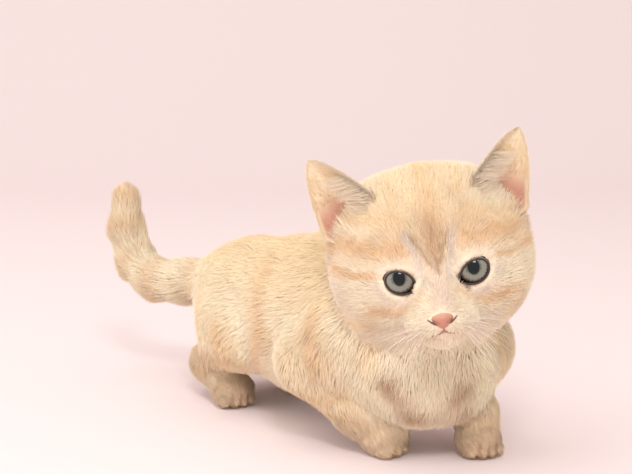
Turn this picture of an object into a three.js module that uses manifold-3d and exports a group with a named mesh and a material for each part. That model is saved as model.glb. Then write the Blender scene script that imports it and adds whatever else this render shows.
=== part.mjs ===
// Munchkin kitten about ten weeks old, standing on its four short legs with its head turned to
// its right and its tail curled up behind. Millimetres, +Z up, the body's front towards -Y and
// the kitten's left side towards +X. The solids reach out to the tips of the coat.
import * as THREE from "three";
import { mergeVertices } from "three/addons/utils/BufferGeometryUtils.js";
import Module from "manifold-3d";

const wasm = await Module();
wasm.setup();

// Driving dimensions: the parting of the pieces
const GAP = 0.3;
const HALF_GAP = GAP / 2;
const LEG_SHELL = 4;
const OVERREACH = 6;
const SEARCH_STEP = 1.5;
const SHORTEST_EDGE = 0.005;

// Driving dimensions: the head's place, its turn, nod and tilt in degrees
const EYE_POINT = new THREE.Vector3(-20, -95, 91);
const HEAD_TURN = -36;
const HEAD_NOD = 3;
const HEAD_TILT = 9.1;
const EYE_DEPTH = 33;

// Driving dimensions: eyes, lids, nose and mouth, in the head's own frame
const EYE_CENTRE = new THREE.Vector3(16.2, -24.8, 0);
const EYE_RADIUS = 9.2;
const CORNEA_RISE = 0.9;
const LID_THICKNESS = 1.3;
const EYE_OPENING = { width: 13.9, height: 11.2, slant: 27, corner: 0.7 };
const MUZZLE_SHIFT = -1;
const NOSE = { width: 9.4, depth: 6 };

// Driving dimensions: how softly masses run into one another
const SOFT = { body: 12, trunk: 14, limb: 8, paw: 5, toe: 2, tail: 4, skull: 10, face: 8, fine: 4, shell: 20 };

const radians = THREE.MathUtils.degToRad;
const at = (x, y, z) => new THREE.Vector3(x, y, z);

// A rounded mass: about the distance from a point to an ellipsoid, turned about the vertical
function mass(centre, radii, turn = 0) {
  const cos = Math.cos(radians(turn));
  const sin = Math.sin(radians(turn));
  const [rx, ry, rz] = radii;
  return (p) => {
    const dx = p.x - centre[0];
    const dy = p.y - centre[1];
    const x = dx * cos + dy * sin;
    const y = dy * cos - dx * sin;
    const z = p.z - centre[2];
    const near = Math.hypot(x / rx, y / ry, z / rz);
    const slope = Math.hypot(x / (rx * rx), y / (ry * ry), z / (rz * rz));
    return (near * (near - 1)) / Math.max(slope, 1e-9);
  };
}

// A tapering length of limb between two points, with a radius at each
function length(from, to, fromRadius, toRadius) {
  const a = at(...from);
  const run = at(...to).sub(a);
  const square = run.lengthSq();
  const q = new THREE.Vector3();
  return (p) => {
    q.subVectors(p, a);
    const t = THREE.MathUtils.clamp(q.dot(run) / square, 0, 1);
    q.addScaledVector(run, -t);
    return q.length() - (fromRadius + (toRadius - fromRadius) * t);
  };
}

// The smaller of two distances, rounded over where they are within k of each other
function softer(a, b, k) {
  const h = Math.max(k - Math.abs(a - b), 0) / k;
  return Math.min(a, b) - (h * h * k) / 4;
}

// Masses run together one after the other, each entry being a mass and its softness
function blend(first, ...others) {
  return (p) => others.reduce((d, [field, k]) => softer(d, field(p), k), first(p));
}

// The same mass on both sides of the head
function bothSides(field) {
  const q = new THREE.Vector3();
  return (p) => field(q.set(Math.abs(p.x), p.y, p.z));
}

// Trunk: chest and breast turned a little towards the way the kitten looks
const CHEST_TURN = -22;
const torsoField = blend(
  mass([5, -43, 55], [42, 40, 43], CHEST_TURN),
  [mass([2, -66, 41], [30, 22, 27], CHEST_TURN), SOFT.body],
  [mass([2, -14, 70], [33, 38, 34]), SOFT.body],
  [mass([-1, 20, 56], [37, 52, 38]), SOFT.trunk],
  [mass([-3, 68, 50], [36, 42, 37]), SOFT.trunk],
  [mass([-2, 18, 43], [33, 46, 33]), SOFT.body],
);
const torsoBones = [[2, -64, 46], [3, -36, 56], [0, 0, 60], [-1, 34, 55], [-3, 72, 50]];

// Neck, short and as thick as its ruff, from between the shoulders into the head
const neckField = length([5, -40, 69], [3, -66, 83], 38, 33);
const neckBones = [[2, -36, 66], [2, -48, 74], [1, -64, 84]];
const NECK_BASE = { point: [2, -48, 72], normal: [0, -0.6, 0.8] };

// Four short legs, each with a shoulder or thigh, a shank and a paw with four toes
const SOLE_SINK = 0.9;
const WRIST_SHARE = 0.35;
const TOE = { radius: 4.3, spread: 4.6, reach: 5.8, height: 4.4 };
const LEGS = {
  front_leg_left: {
    paw: "front_paw_left", aim: -12,
    joints: [[34, -58, 46], [37, -47, 33], [28, -67, 17], [22, -76, 9.5]],
    radii: [20, 15, 10.5, 9.6],
  },
  front_leg_right: {
    paw: "front_paw_right", aim: 20,
    joints: [[-25, -30, 48], [-31, -14, 39], [-21, -39, 18], [-13, -50, 9.5]],
    radii: [20, 15, 10.5, 9.6],
  },
  hind_leg_left: {
    paw: "hind_paw_left", aim: 6,
    joints: [[20, 62, 42], [23, 50, 38], [20, 86, 18], [21, 61, 9.5]],
    radii: [17, 15, 10.5, 10],
  },
  hind_leg_right: {
    paw: "hind_paw_right", aim: -6,
    joints: [[-26, 62, 42], [-29, 50, 38], [-26, 86, 18], [-27, 61, 9.5]],
    radii: [17, 15, 10.5, 10],
  },
};

for (const leg of Object.values(LEGS)) {
  const [hip, knee, ankle, ball] = leg.joints;
  const [r0, r1, r2, r3] = leg.radii;
  const ahead = at(Math.sin(radians(leg.aim)), -Math.cos(radians(leg.aim)), 0);
  const across = at(-ahead.y, ahead.x, 0);
  const toes = [-1.5, -0.5, 0.5, 1.5].map((n) => {
    const reach = TOE.reach - 0.9 * n * n;
    const centre = at(...ball).addScaledVector(across, n * TOE.spread).addScaledVector(ahead, reach);
    return mass([centre.x, centre.y, TOE.height - SOLE_SINK], [TOE.radius, TOE.radius + 1, TOE.radius], leg.aim);
  });
  const foot = length(ankle, ball, r2, r3);
  const sole = at(...ball).addScaledVector(ahead, -1);
  const pad = mass([sole.x, sole.y, 7], [r3 + 0.5, r3 + 1, 8], leg.aim);
  leg.pawField = blend(foot, [pad, SOFT.paw], ...toes.map((toe) => [toe, SOFT.toe]));
  leg.shankField = blend(length(hip, knee, r0, r1), [length(knee, ankle, r1, r2), SOFT.limb]);
  leg.shellField = blend(length(hip, knee, r0, r1), [length(knee, ankle, r1, r2), SOFT.shell]);
  leg.field = blend(leg.shankField, [leg.pawField, SOFT.paw]);
  leg.bones = [hip, ankle];
  const heel = at(...ball).addScaledVector(ahead, -6);
  const toe = at(...ball).addScaledVector(ahead, 4);
  leg.pawBones = [[heel.x, heel.y, 8], [toe.x, toe.y, 6]];
  leg.wrist = at(...ankle).lerp(at(...ball), WRIST_SHARE).toArray();
  leg.down = at(...ball).sub(at(...ankle)).toArray();
}

// Tail, thick and furry, level behind the rump and then curled up, in three lengths
const TAIL = [
  { point: [-8, 92, 61], radius: 14 },
  { point: [-18, 122, 55], radius: 13.5 },
  { point: [-27, 141, 54], radius: 13 },
  { point: [-32, 154, 62], radius: 12.5 },
  { point: [-35, 161, 80], radius: 11.5 },
  { point: [-34, 163, 99], radius: 9 },
];
const tailLengths = TAIL.slice(1).map((end, i) => (
  length(TAIL[i].point, end.point, TAIL[i].radius, end.radius)));
const tailField = blend(tailLengths[0], ...tailLengths.slice(1).map((f) => [f, SOFT.tail]));
const tailBones = TAIL.map((joint) => joint.point);

const wholeField = blend(
  neckField,
  [torsoField, SOFT.body],
  ...Object.values(LEGS).map((leg) => [leg.field, SOFT.body]),
  [tailField, SOFT.body],
);

// Head, in a frame of its own: x to the kitten's left, y backwards, z up, eyes at z = 0
const eyeLid = mass(EYE_CENTRE.toArray(), Array(3).fill(EYE_RADIUS + GAP + LID_THICKNESS));
const headField = blend(
  mass([0, 4, 14], [40, 36, 34]),
  [bothSides(mass([22.5, -4, 1], [24, 26, 22])), SOFT.skull],
  [bothSides(mass([18, -6, -11], [21, 23, 19])), SOFT.skull],
  [bothSides(mass([33, 2, 14], [13.5, 14, 17])), SOFT.face],
  [mass([0, -6, -15], [24, 26, 16]), SOFT.face],
  [mass([MUZZLE_SHIFT, -30, -16], [15, 13, 11]), SOFT.face],
  [mass([MUZZLE_SHIFT - 7, -34.5, -19.5], [8.6, 8, 6.8]), SOFT.fine],
  [mass([MUZZLE_SHIFT + 7, -34.5, -19.5], [8.6, 8, 6.8]), SOFT.fine],
  [mass([MUZZLE_SHIFT, -31, -25.5], [9, 9, 6]), SOFT.fine],
  [mass([MUZZLE_SHIFT / 2, -28, -6], [8, 13, 10]), SOFT.face],
  [bothSides(mass([17, -20, 10], [14, 11, 11])), SOFT.face],
  [mass([0, -14, 19], [22, 20, 20]), SOFT.face],
  [bothSides(mass([20, 0, 28], [16, 17, 14])), SOFT.skull],
  [bothSides(eyeLid), SOFT.fine],
);
const HEAD_HEART = at(0, -5, 0);
const HEAD_AROUND = 42;
const HEAD_RINGS = 30;

// Walk outwards along a ray to where the field first reaches the level, then halve to it
function walk(field, base, ray, level) {
  const p = new THREE.Vector3();
  let near = 0;
  let far = SEARCH_STEP;
  while (field(p.copy(base).addScaledVector(ray, far)) < level) {
    near = far;
    far += SEARCH_STEP;
  }
  for (let i = 0; i < 14; i += 1) {
    const middle = (near + far) / 2;
    if (field(p.copy(base).addScaledVector(ray, middle)) < level) near = middle;
    else far = middle;
  }
  return p.copy(base).addScaledVector(ray, far);
}

// A closed geometry becomes a solid once its seams and poles are merged
function solid(geometry) {
  const bare = geometry.clone();
  bare.deleteAttribute("normal");
  bare.deleteAttribute("uv");
  const merged = mergeVertices(bare, SHORTEST_EDGE);
  const triVerts = [];
  const index = merged.index.array;
  for (let i = 0; i < index.length; i += 3) {
    const [a, b, c] = [index[i], index[i + 1], index[i + 2]];
    if (a !== b && b !== c && c !== a) triVerts.push(a, b, c);
  }
  const mesh = new wasm.Mesh({
    numProp: 3,
    vertProperties: new Float32Array(merged.attributes.position.array),
    triVerts: new Uint32Array(triVerts),
  });
  return new wasm.Manifold(mesh);
}

// Move every vertex of a geometry by a function that gets the vertex and writes it anew
function reshape(geometry, place) {
  const position = geometry.attributes.position;
  const p = new THREE.Vector3();
  for (let i = 0; i < position.count; i += 1) {
    p.fromBufferAttribute(position, i);
    const q = place(p);
    position.setXYZ(i, q.x, q.y, q.z);
  }
  return geometry;
}

// A capsule bent along bones, each vertex pulled out along its own ray onto a field's surface
function pulled(bones, field, level, side, around, along, caps) {
  const curve = new THREE.CatmullRomCurve3(bones.map((b) => at(...b)));
  const capsule = new THREE.CapsuleGeometry(1, 1, caps, around, along);
  return solid(reshape(capsule, (p) => {
    const t = THREE.MathUtils.clamp(p.y + 0.5, 0, 1);
    const beyond = p.y + 0.5 - t;
    const forward = curve.getTangent(t);
    const first = side.clone().addScaledVector(forward, -side.dot(forward)).normalize();
    const second = first.clone().cross(forward);
    const ray = first.multiplyScalar(p.x).addScaledVector(forward, beyond).addScaledVector(second, p.z);
    return walk(field, curve.getPoint(t), ray.normalize(), level);
  }));
}

// The largest closed surface of a cut solid, without loose scraps
function largest(piece) {
  return piece.decompose().reduce((a, b) => (a.volume() > b.volume() ? a : b));
}

// The part of a solid that lies beyond a plane, and this clear of it
function beyond(piece, point, normal, clear) {
  const n = at(...normal).normalize();
  return piece.trimByPlane(n.toArray(), at(...point).dot(n) + clear);
}

// One hull for each limb, on the surface of the whole body within reach of that limb
const along = { x: at(1, 0, 0), y: at(0, 1, 0), z: at(0, 0, 1) };
const within = (field) => (p) => Math.max(wholeField(p), field(p) - OVERREACH);

// The head, an egg of rings round the face's axis pulled onto its field
function headSolid(level, around, rings) {
  const egg = new THREE.SphereGeometry(1, around, rings);
  egg.rotateX(-Math.PI / 2);
  return solid(reshape(egg, (p) => walk(headField, HEAD_HEART, p.clone().normalize(), level)));
}

// A slim round bar along a curve, for cutting the mouth, the nostrils and the philtrum
function bar(points, radius) {
  const section = new THREE.Shape().absarc(0, 0, radius, 0, 2 * Math.PI);
  const extrudePath = new THREE.CatmullRomCurve3(points.map((b) => at(...b)));
  const options = { steps: 3 * (points.length - 1), curveSegments: 3, extrudePath, bevelEnabled: false };
  return solid(new THREE.ExtrudeGeometry(section, options));
}

// Eyeball with the clear dome of its front standing a little proud
function eyeball(side, swell, around, rings) {
  const ball = new THREE.SphereGeometry(EYE_RADIUS, around, rings);
  ball.rotateX(-Math.PI / 2);
  const centre = EYE_CENTRE.clone().multiply(at(side, 1, 1));
  return solid(reshape(ball, (p) => {
    const front = Math.max(-p.y / EYE_RADIUS - 0.55, 0) / 0.45;
    const dome = CORNEA_RISE * Math.sin((front * Math.PI) / 2);
    return p.multiplyScalar(1 + (dome + swell) / EYE_RADIUS).add(centre);
  }));
}

// Opening between the lids, a rounded almond drawn out at the inner corner, cut straight in
function opening(side) {
  const { width, height, slant, corner } = EYE_OPENING;
  const almond = new THREE.Shape(Array.from({ length: 16 }, (_, i) => {
    const turn = (2 * Math.PI * i) / 16;
    const inner = Math.pow(Math.max(-Math.cos(turn), 0), 8) * corner;
    return new THREE.Vector2((width / 2) * Math.cos(turn) - inner, (height / 2) * Math.sin(turn));
  }));
  const block = new THREE.ExtrudeGeometry(almond, { depth: 20, bevelEnabled: false });
  block.rotateZ(radians(slant));
  block.rotateX(Math.PI / 2);
  block.translate(EYE_CENTRE.x, EYE_CENTRE.y, EYE_CENTRE.z);
  const piece = solid(block);
  return side > 0 ? piece : piece.mirror([1, 0, 0]);
}

// Nose pad, broad on top and drawn in to the philtrum
const noseField = blend(
  mass([MUZZLE_SHIFT, -40, -15.2], [NOSE.width / 2, NOSE.depth / 2 + 1.6, 2.6]),
  [mass([MUZZLE_SHIFT, -40.4, -18], [2.6, 3.6, 3.2]), SOFT.fine],
  [mass([MUZZLE_SHIFT - 3, -40, -16.6], [1.9, 3.2, 1.9]), 1],
  [mass([MUZZLE_SHIFT + 3, -40, -16.6], [1.9, 3.2, 1.9]), 1],
);
function noseSolid(level) {
  const egg = new THREE.SphereGeometry(1, 14, 10);
  egg.rotateX(-Math.PI / 2);
  const heart = at(MUZZLE_SHIFT, -39, -16);
  return solid(reshape(egg, (p) => walk(noseField, heart, p.clone().normalize(), level)));
}

// Ear, a thin cup: a flat leaf bent round its own long axis, from inside the head to its tip
const EAR = {
  root: at(23.5, -10, 16), tip: at(48.5, 3, 57.5), across: at(0.82, 0.43, -0.36),
  halfWidth: 16.4, widest: 0.34, narrowing: 0.72, cup: 9.5, thickness: 2.4,
};
function earSolid(side) {
  const leaf = new THREE.SphereGeometry(1, 20, 12);
  const axis = EAR.tip.clone().sub(EAR.root);
  const up = axis.clone().normalize();
  const wide = EAR.across.clone().addScaledVector(up, -EAR.across.dot(up)).normalize();
  const front = wide.clone().cross(up).normalize();
  const piece = solid(reshape(leaf, (p) => {
    const s = 0.5 + Math.asin(THREE.MathUtils.clamp(p.y, -1, 1)) / Math.PI;
    const round = Math.hypot(p.x, p.z);
    const u = round > 1e-9 ? p.x / round : 0;
    const face = round > 1e-9 ? p.z / round : 0;
    const rising = Math.sqrt(Math.min(s / EAR.widest, 1));
    const taper = rising * Math.pow(Math.min((1 - s) / (1 - EAR.widest), 1), EAR.narrowing);
    const hollow = EAR.cup * taper;
    const forward = 0.5 * EAR.thickness * Math.sqrt(taper) * face - hollow * (1 - u * u);
    return EAR.root.clone().addScaledVector(axis, s).addScaledVector(wide, u * EAR.halfWidth * taper)
      .addScaledVector(front, forward + 0.5 * hollow);
  }));
  return side > 0 ? piece : piece.mirror([1, 0, 0]);
}

// Cut the head for what sits in it, and open the mouth and nostrils
const mx = MUZZLE_SHIFT;
const mouth = bar([[mx - 15, -27, -23], [mx - 10, -34, -26.5], [mx - 4, -40, -26.3], [mx, -41.5, -24.6]], 0.8)
  .add(bar([[mx + 15, -27, -23], [mx + 10, -34, -26.5], [mx + 4, -40, -26.3], [mx, -41.5, -24.6]], 0.8))
  .add(bar([[mx, -46, -19], [mx, -44, -21], [mx, -42.5, -23], [mx, -41.5, -25]], 0.7));
const nostrils = [-1, 1].map((side) => (
  bar([[mx + side * 2.2, -45, -18], [mx + side * 3.6, -43.6, -17.3], [mx + side * 5.6, -41, -15.8]], 0.8)));

let head = headSolid(0, HEAD_AROUND, HEAD_RINGS);
for (const side of [-1, 1]) head = head.subtract(opening(side)).subtract(eyeball(side, GAP, 18, 12));
head = largest(head.subtract(noseSolid(GAP)).subtract(mouth).subtract(nostrils[0]).subtract(nostrils[1]));
const nose = largest(noseSolid(0).subtract(nostrils[0]).subtract(nostrils[1]));
const headRoom = headSolid(GAP, HEAD_AROUND, HEAD_RINGS);

// The head's frame is set down at the eyes' point
const headTurn = new THREE.Quaternion()
  .setFromAxisAngle(along.z, radians(HEAD_TURN))
  .multiply(new THREE.Quaternion().setFromAxisAngle(along.x, radians(-HEAD_NOD)))
  .multiply(new THREE.Quaternion().setFromAxisAngle(along.y, radians(-HEAD_TILT)));
const headPlace = EYE_POINT.clone().sub(at(0, -EYE_DEPTH, 0).applyQuaternion(headTurn));
const headMatrix = new THREE.Matrix4().compose(headPlace, headTurn, at(1, 1, 1));

// Part the body: legs and tail by a shell round each, the neck and the wrists by planes
const pieces = {};
const placedHead = headRoom.transform(headMatrix.toArray());
let neck = pulled(neckBones, wholeField, 0, along.x, 28, 4, 5).subtract(placedHead);
let trunk = pulled(torsoBones, within(torsoField), 0, along.x, 28, 14, 6);
for (const [name, leg] of Object.entries(LEGS)) {
  const shankShell = (level) => pulled(leg.bones, leg.shellField, level, along.y, 14, 3, 4);
  const pawShell = (level) => pulled(leg.pawBones, leg.pawField, level, along.x, 12, 2, 3);
  const shank = pulled(leg.bones, within(leg.shankField), 0, along.y, 18, 6, 4);
  const paw = pulled(leg.pawBones, within(leg.pawField), 0, along.x, 22, 4, 5);
  const pawRoom = beyond(pawShell(LEG_SHELL + HALF_GAP), leg.wrist, leg.down, -HALF_GAP);
  const limb = shank.intersect(shankShell(LEG_SHELL - HALF_GAP));
  pieces[name] = largest(limb.subtract(pawRoom).subtract(placedHead));
  const pawPiece = beyond(paw.intersect(pawShell(LEG_SHELL - HALF_GAP)), leg.wrist, leg.down, HALF_GAP);
  pieces[leg.paw] = largest(pawPiece.trimByPlane([0, 0, 1], 0));
  for (const room of [shankShell(LEG_SHELL + HALF_GAP), pawRoom]) {
    trunk = trunk.subtract(room);
    neck = neck.subtract(room);
  }
}
const tailShell = (level) => pulled(tailBones, tailField, level, along.x, 12, 14, 3);
const tail = pulled(tailBones, within(tailField), 0, along.x, 14, 20, 4);
trunk = trunk.subtract(tailShell(LEG_SHELL + HALF_GAP));
pieces.neck = largest(beyond(neck, NECK_BASE.point, NECK_BASE.normal, HALF_GAP));
const behindNeck = beyond(trunk, NECK_BASE.point, NECK_BASE.normal.map((c) => -c), HALF_GAP);
pieces.torso = largest(behindNeck.subtract(placedHead));
let rest = tail.intersect(tailShell(LEG_SHELL - HALF_GAP));
const tailCurve = new THREE.CatmullRomCurve3(tailBones.map((b) => at(...b)));
for (const [name, t] of [["tail_base", 0.52], ["tail_middle", 0.77]]) {
  const point = tailCurve.getPoint(t).toArray();
  const normal = tailCurve.getTangent(t).toArray();
  pieces[name] = largest(beyond(rest, point, normal.map((c) => -c), HALF_GAP));
  rest = beyond(rest, point, normal, HALF_GAP);
}
pieces.tail_tip = largest(rest);

const headPieces = { head, nose };
for (const [name, side] of [["left", 1], ["right", -1]]) {
  headPieces[`ear_${name}`] = largest(earSolid(side).subtract(headRoom));
  headPieces[`eye_${name}`] = eyeball(side, 0, 18, 14);
}

// Colours of the coat and of the bare parts
const COAT = { color: "#e9c79c", roughness: 0.9, metalness: 0 };
const NOSE_SKIN = { color: "#dd9a86", roughness: 0.5, metalness: 0 };
const EYE = { color: "#8f9b8d", roughness: 0.08, metalness: 0 };
const finishOf = (name) => (name.startsWith("eye") ? EYE : name === "nose" ? NOSE_SKIN : COAT);

// A solid goes back to a geometry
function geometryOf(piece) {
  const { vertProperties, triVerts } = piece.getMesh();
  const geometry = new THREE.BufferGeometry();
  geometry.setAttribute("position", new THREE.BufferAttribute(new Float32Array(vertProperties), 3));
  geometry.setIndex(new THREE.BufferAttribute(new Uint32Array(triVerts), 1));
  return geometry;
}

// A piece becomes a mesh of its own, once the specks that cutting left on it are closed up
function meshOf(name, piece) {
  const geometry = geometryOf(largest(solid(geometryOf(piece))));
  geometry.computeVertexNormals();
  const mesh = new THREE.Mesh(geometry, new THREE.MeshStandardMaterial(finishOf(name)));
  mesh.name = name;
  return mesh;
}

const kitten = new THREE.Group();
const headGroup = new THREE.Group();
headGroup.position.copy(headPlace);
headGroup.quaternion.copy(headTurn);
for (const [name, piece] of Object.entries(headPieces)) headGroup.add(meshOf(name, piece));
for (const [name, piece] of Object.entries(pieces)) kitten.add(meshOf(name, piece));
kitten.add(headGroup);

// Its origin goes to the middle of its footprint, on the ground
kitten.updateMatrixWorld(true);
const box = new THREE.Box3().setFromObject(kitten, true);
kitten.position.set(-(box.min.x + box.max.x) / 2, -(box.min.y + box.max.y) / 2, -box.min.z);
kitten.updateMatrixWorld(true);

export default kitten;
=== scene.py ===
"""Munchkin kitten about ten weeks old, cream with ginger tabby marks, standing and looking up."""
import bpy
import numpy as np
from mathutils import Matrix, Vector


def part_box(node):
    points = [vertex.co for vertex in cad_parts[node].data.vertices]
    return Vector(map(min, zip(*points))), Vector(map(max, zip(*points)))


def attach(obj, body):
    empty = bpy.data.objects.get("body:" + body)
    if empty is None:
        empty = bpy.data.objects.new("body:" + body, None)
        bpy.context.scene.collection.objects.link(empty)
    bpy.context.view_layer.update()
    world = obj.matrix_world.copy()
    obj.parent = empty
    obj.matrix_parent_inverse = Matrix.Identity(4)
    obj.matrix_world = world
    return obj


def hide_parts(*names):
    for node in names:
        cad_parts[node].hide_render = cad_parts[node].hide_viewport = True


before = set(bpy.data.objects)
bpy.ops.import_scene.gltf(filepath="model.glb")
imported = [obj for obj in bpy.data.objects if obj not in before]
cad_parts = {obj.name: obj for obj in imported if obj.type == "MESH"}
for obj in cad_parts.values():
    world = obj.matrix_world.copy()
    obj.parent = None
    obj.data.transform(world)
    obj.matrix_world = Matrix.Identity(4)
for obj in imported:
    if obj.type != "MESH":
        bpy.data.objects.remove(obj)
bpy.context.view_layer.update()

# Camera
# A long lens a little above the kitten's eyes, off its right front, as the photograph was taken.
# Sizes in this file are in millimetres of the kitten's own frame, and meshes are made in metres.
MM = 0.001
EYE_POINT = np.array([-20.0, -95.0, 91.0])
LEFT_EYE = np.array([-2.167, -97.669, 93.129])
LEFT_EYE_FROM_BOX = np.array([0.143, 0.366, 0.0])
eye_low, eye_high = (np.array(corner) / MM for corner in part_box("eye_left"))
BODY_SHIFT = (eye_low + eye_high) / 2 + LEFT_EYE_FROM_BOX - LEFT_EYE
CAMERA_PLACE = np.array([-400.7, -548.6, 201.7])
VIEW_AZIMUTH, VIEW_ELEVATION = np.radians(-35), np.radians(9)
FOCAL_PIXELS, PHOTO_WIDTH = 1410, 632


def to_metres(points):
    """Points of the kitten's own frame in the row's frame: shifted to the footprint, then scaled."""
    return (np.asarray(points) + BODY_SHIFT) * MM


towards_camera = np.array([
    np.sin(VIEW_AZIMUTH) * np.cos(VIEW_ELEVATION),
    -np.cos(VIEW_AZIMUTH) * np.cos(VIEW_ELEVATION),
    np.sin(VIEW_ELEVATION),
])
camera = bpy.data.objects.new("camera", bpy.data.cameras.new("camera"))
bpy.context.scene.collection.objects.link(camera)
bpy.context.scene.camera = camera
camera.data.sensor_width = 36
camera.data.lens = FOCAL_PIXELS / PHOTO_WIDTH * camera.data.sensor_width
camera.data.clip_start = 0.01
camera.rotation_mode = "QUATERNION"
camera.rotation_quaternion = Vector(-towards_camera).to_track_quat("-Z", "Y")
camera.location = to_metres(CAMERA_PLACE)

# Skin
# One skin from the lips to the tip of the tail, stretched over flesh and lying under the coat by
# the coat's depth. It grows over the masses of the body: each is a closed grid of its own, the
# grids are joined, and every point of the joined surface then settles on the skin's own level.
SOFT = dict(body=12, trunk=14, limb=8, paw=5, toe=1, tail=4, skull=10, face=8, fine=4)
CHEST_TURN = -22
TRUNK = [
    ((5, -43, 55), (42, 40, 43), CHEST_TURN, 0),
    ((2, -66, 41), (30, 22, 27), CHEST_TURN, SOFT["body"]),
    ((2, -14, 70), (33, 38, 34), 0, SOFT["body"]),
    ((-1, 20, 56), (37, 52, 38), 0, SOFT["trunk"]),
    ((-3, 68, 50), (36, 42, 37), 0, SOFT["trunk"]),
    ((-2, 18, 43), (33, 46, 33), 0, SOFT["body"]),
]
NECK = ((5, -40, 69), (3, -66, 83), 38, 33)
TOE = dict(radius=4.3, spread=4.6, reach=5.8, height=3.5)
LEGS = {
    "front_left": (((34, -58, 46), (37, -47, 33), (28, -67, 17), (22, -76, 9.5)), (20, 15, 10.5, 9.6), -12),
    "front_right": (((-25, -30, 48), (-31, -14, 39), (-21, -39, 18), (-13, -50, 9.5)), (20, 15, 10.5, 9.6), 20),
    "hind_left": (((20, 62, 42), (23, 50, 38), (20, 86, 18), (21, 61, 9.5)), (17, 15, 10.5, 10), 6),
    "hind_right": (((-26, 62, 42), (-29, 50, 38), (-26, 86, 18), (-27, 61, 9.5)), (17, 15, 10.5, 10), -6),
}
TAIL = [
    ((-8, 92, 61), 14), ((-18, 122, 55), 13.5), ((-27, 141, 54), 13),
    ((-32, 154, 62), 12.5), ((-35, 161, 80), 11.5), ((-34, 163, 99), 9),
]
HEAD_TURN, HEAD_NOD, HEAD_TILT = np.radians([-36, 3, 9.1])
EYE_DEPTH = 33
EYE_CENTRE = np.array([16.2, -24.8, 0.0])
EYE_RADIUS = 9.2
LID_RADIUS = EYE_RADIUS + 1.6
MUZZLE_SHIFT = -1
HEAD = [
    ((0, 4, 14), (40, 36, 34), 0, False),
    ((22.5, -4, 1), (24, 26, 22), SOFT["skull"], True),
    ((18, -6, -11), (21, 23, 19), SOFT["skull"], True),
    ((33, 2, 14), (13.5, 14, 17), SOFT["face"], True),
    ((0, -6, -15), (24, 26, 16), SOFT["face"], False),
    ((MUZZLE_SHIFT, -30, -16), (15, 13, 11), SOFT["face"], False),
    ((MUZZLE_SHIFT - 7, -34.5, -19.5), (8.6, 8, 6.8), SOFT["fine"], False),
    ((MUZZLE_SHIFT + 7, -34.5, -19.5), (8.6, 8, 6.8), SOFT["fine"], False),
    ((MUZZLE_SHIFT, -31, -25.5), (9, 9, 6), SOFT["fine"], False),
    ((MUZZLE_SHIFT / 2, -28, -6), (8, 13, 10), SOFT["face"], False),
    ((17, -20, 10), (14, 11, 11), SOFT["face"], True),
    ((0, -14, 19), (22, 20, 20), SOFT["face"], False),
    ((20, 0, 28), (16, 17, 14), SOFT["skull"], True),
    (tuple(EYE_CENTRE), (LID_RADIUS,) * 3, SOFT["fine"], True),
]
COAT_DEPTH = dict(neck=5.2, trunk=4.4, leg=3.0, paw=1.3, tail=4.4)
OPENING = dict(width=12.6, height=9.5, slant=np.radians(27), corner=0.7)
SOCKET_INSET = 0.5
LID_OVERHANG = 0.25
SKIN_VOXEL = 1.15
SOLE_LEVEL = 0.4
SETTLINGS, LONGEST_SETTLING = 5, 2.5


def turn_about(axis, angle):
    """Rotation matrix about one of the frame's axes."""
    return np.array(Matrix.Rotation(angle, 3, axis))


HEAD_AXES = turn_about("Z", HEAD_TURN) @ turn_about("X", -HEAD_NOD) @ turn_about("Y", -HEAD_TILT)
HEAD_PLACE = EYE_POINT - HEAD_AXES @ np.array([0, -EYE_DEPTH, 0])


def to_head(p):
    """The same points in the head's own frame: x to the kitten's left, y backwards, z up."""
    return (p - HEAD_PLACE) @ HEAD_AXES


def from_head(q):
    """Points of the head's own frame in the body's frame."""
    return np.asarray(q) @ HEAD_AXES.T + HEAD_PLACE


def mirrored(q):
    """Points of the head's own frame, those of its right side carried over to its left."""
    return np.stack([np.abs(q[:, 0]), q[:, 1], q[:, 2]], axis=1)


def mass(p, centre, radii, turn=0):
    """About the distance to an ellipsoid: n(n - 1) over the slope of n, n being the scaled radius."""
    d = p - np.array(centre)
    cos, sin = np.cos(np.radians(turn)), np.sin(np.radians(turn))
    d = np.stack([d[:, 0] * cos + d[:, 1] * sin, d[:, 1] * cos - d[:, 0] * sin, d[:, 2]], axis=1)
    near = np.linalg.norm(d / np.array(radii), axis=1)
    slope = np.linalg.norm(d / np.square(radii), axis=1)
    return near * (near - 1) / np.maximum(slope, 1e-9)


def along_line(p, start, end):
    """Share of the way from start to end at the nearest point of the line, and the distance to it."""
    start, run = np.array(start, float), np.subtract(end, start).astype(float)
    t = np.clip((p - start) @ run / (run @ run), 0, 1)
    return t, np.linalg.norm(p - start - t[:, None] * run, axis=1)


def limb(p, start, end, start_radius, end_radius):
    """Distance to a tapering round limb: the distance to its line less the radius there."""
    t, away = along_line(p, start, end)
    return away - (start_radius + (end_radius - start_radius) * t)


def softer(a, b, k):
    """The smaller of two distances, less h^2 k / 4 where h is how nearly alike they are within k."""
    if k == 0:
        return np.minimum(a, b)
    h = np.maximum(k - np.abs(a - b), 0) / k
    return np.minimum(a, b) - h * h * k / 4


def paw_ways(aim):
    """Unit directions ahead of a paw that points aim degrees off -y, and across it."""
    ahead = np.array([np.sin(np.radians(aim)), -np.cos(np.radians(aim)), 0])
    return ahead, np.array([-ahead[1], ahead[0], 0])


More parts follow.
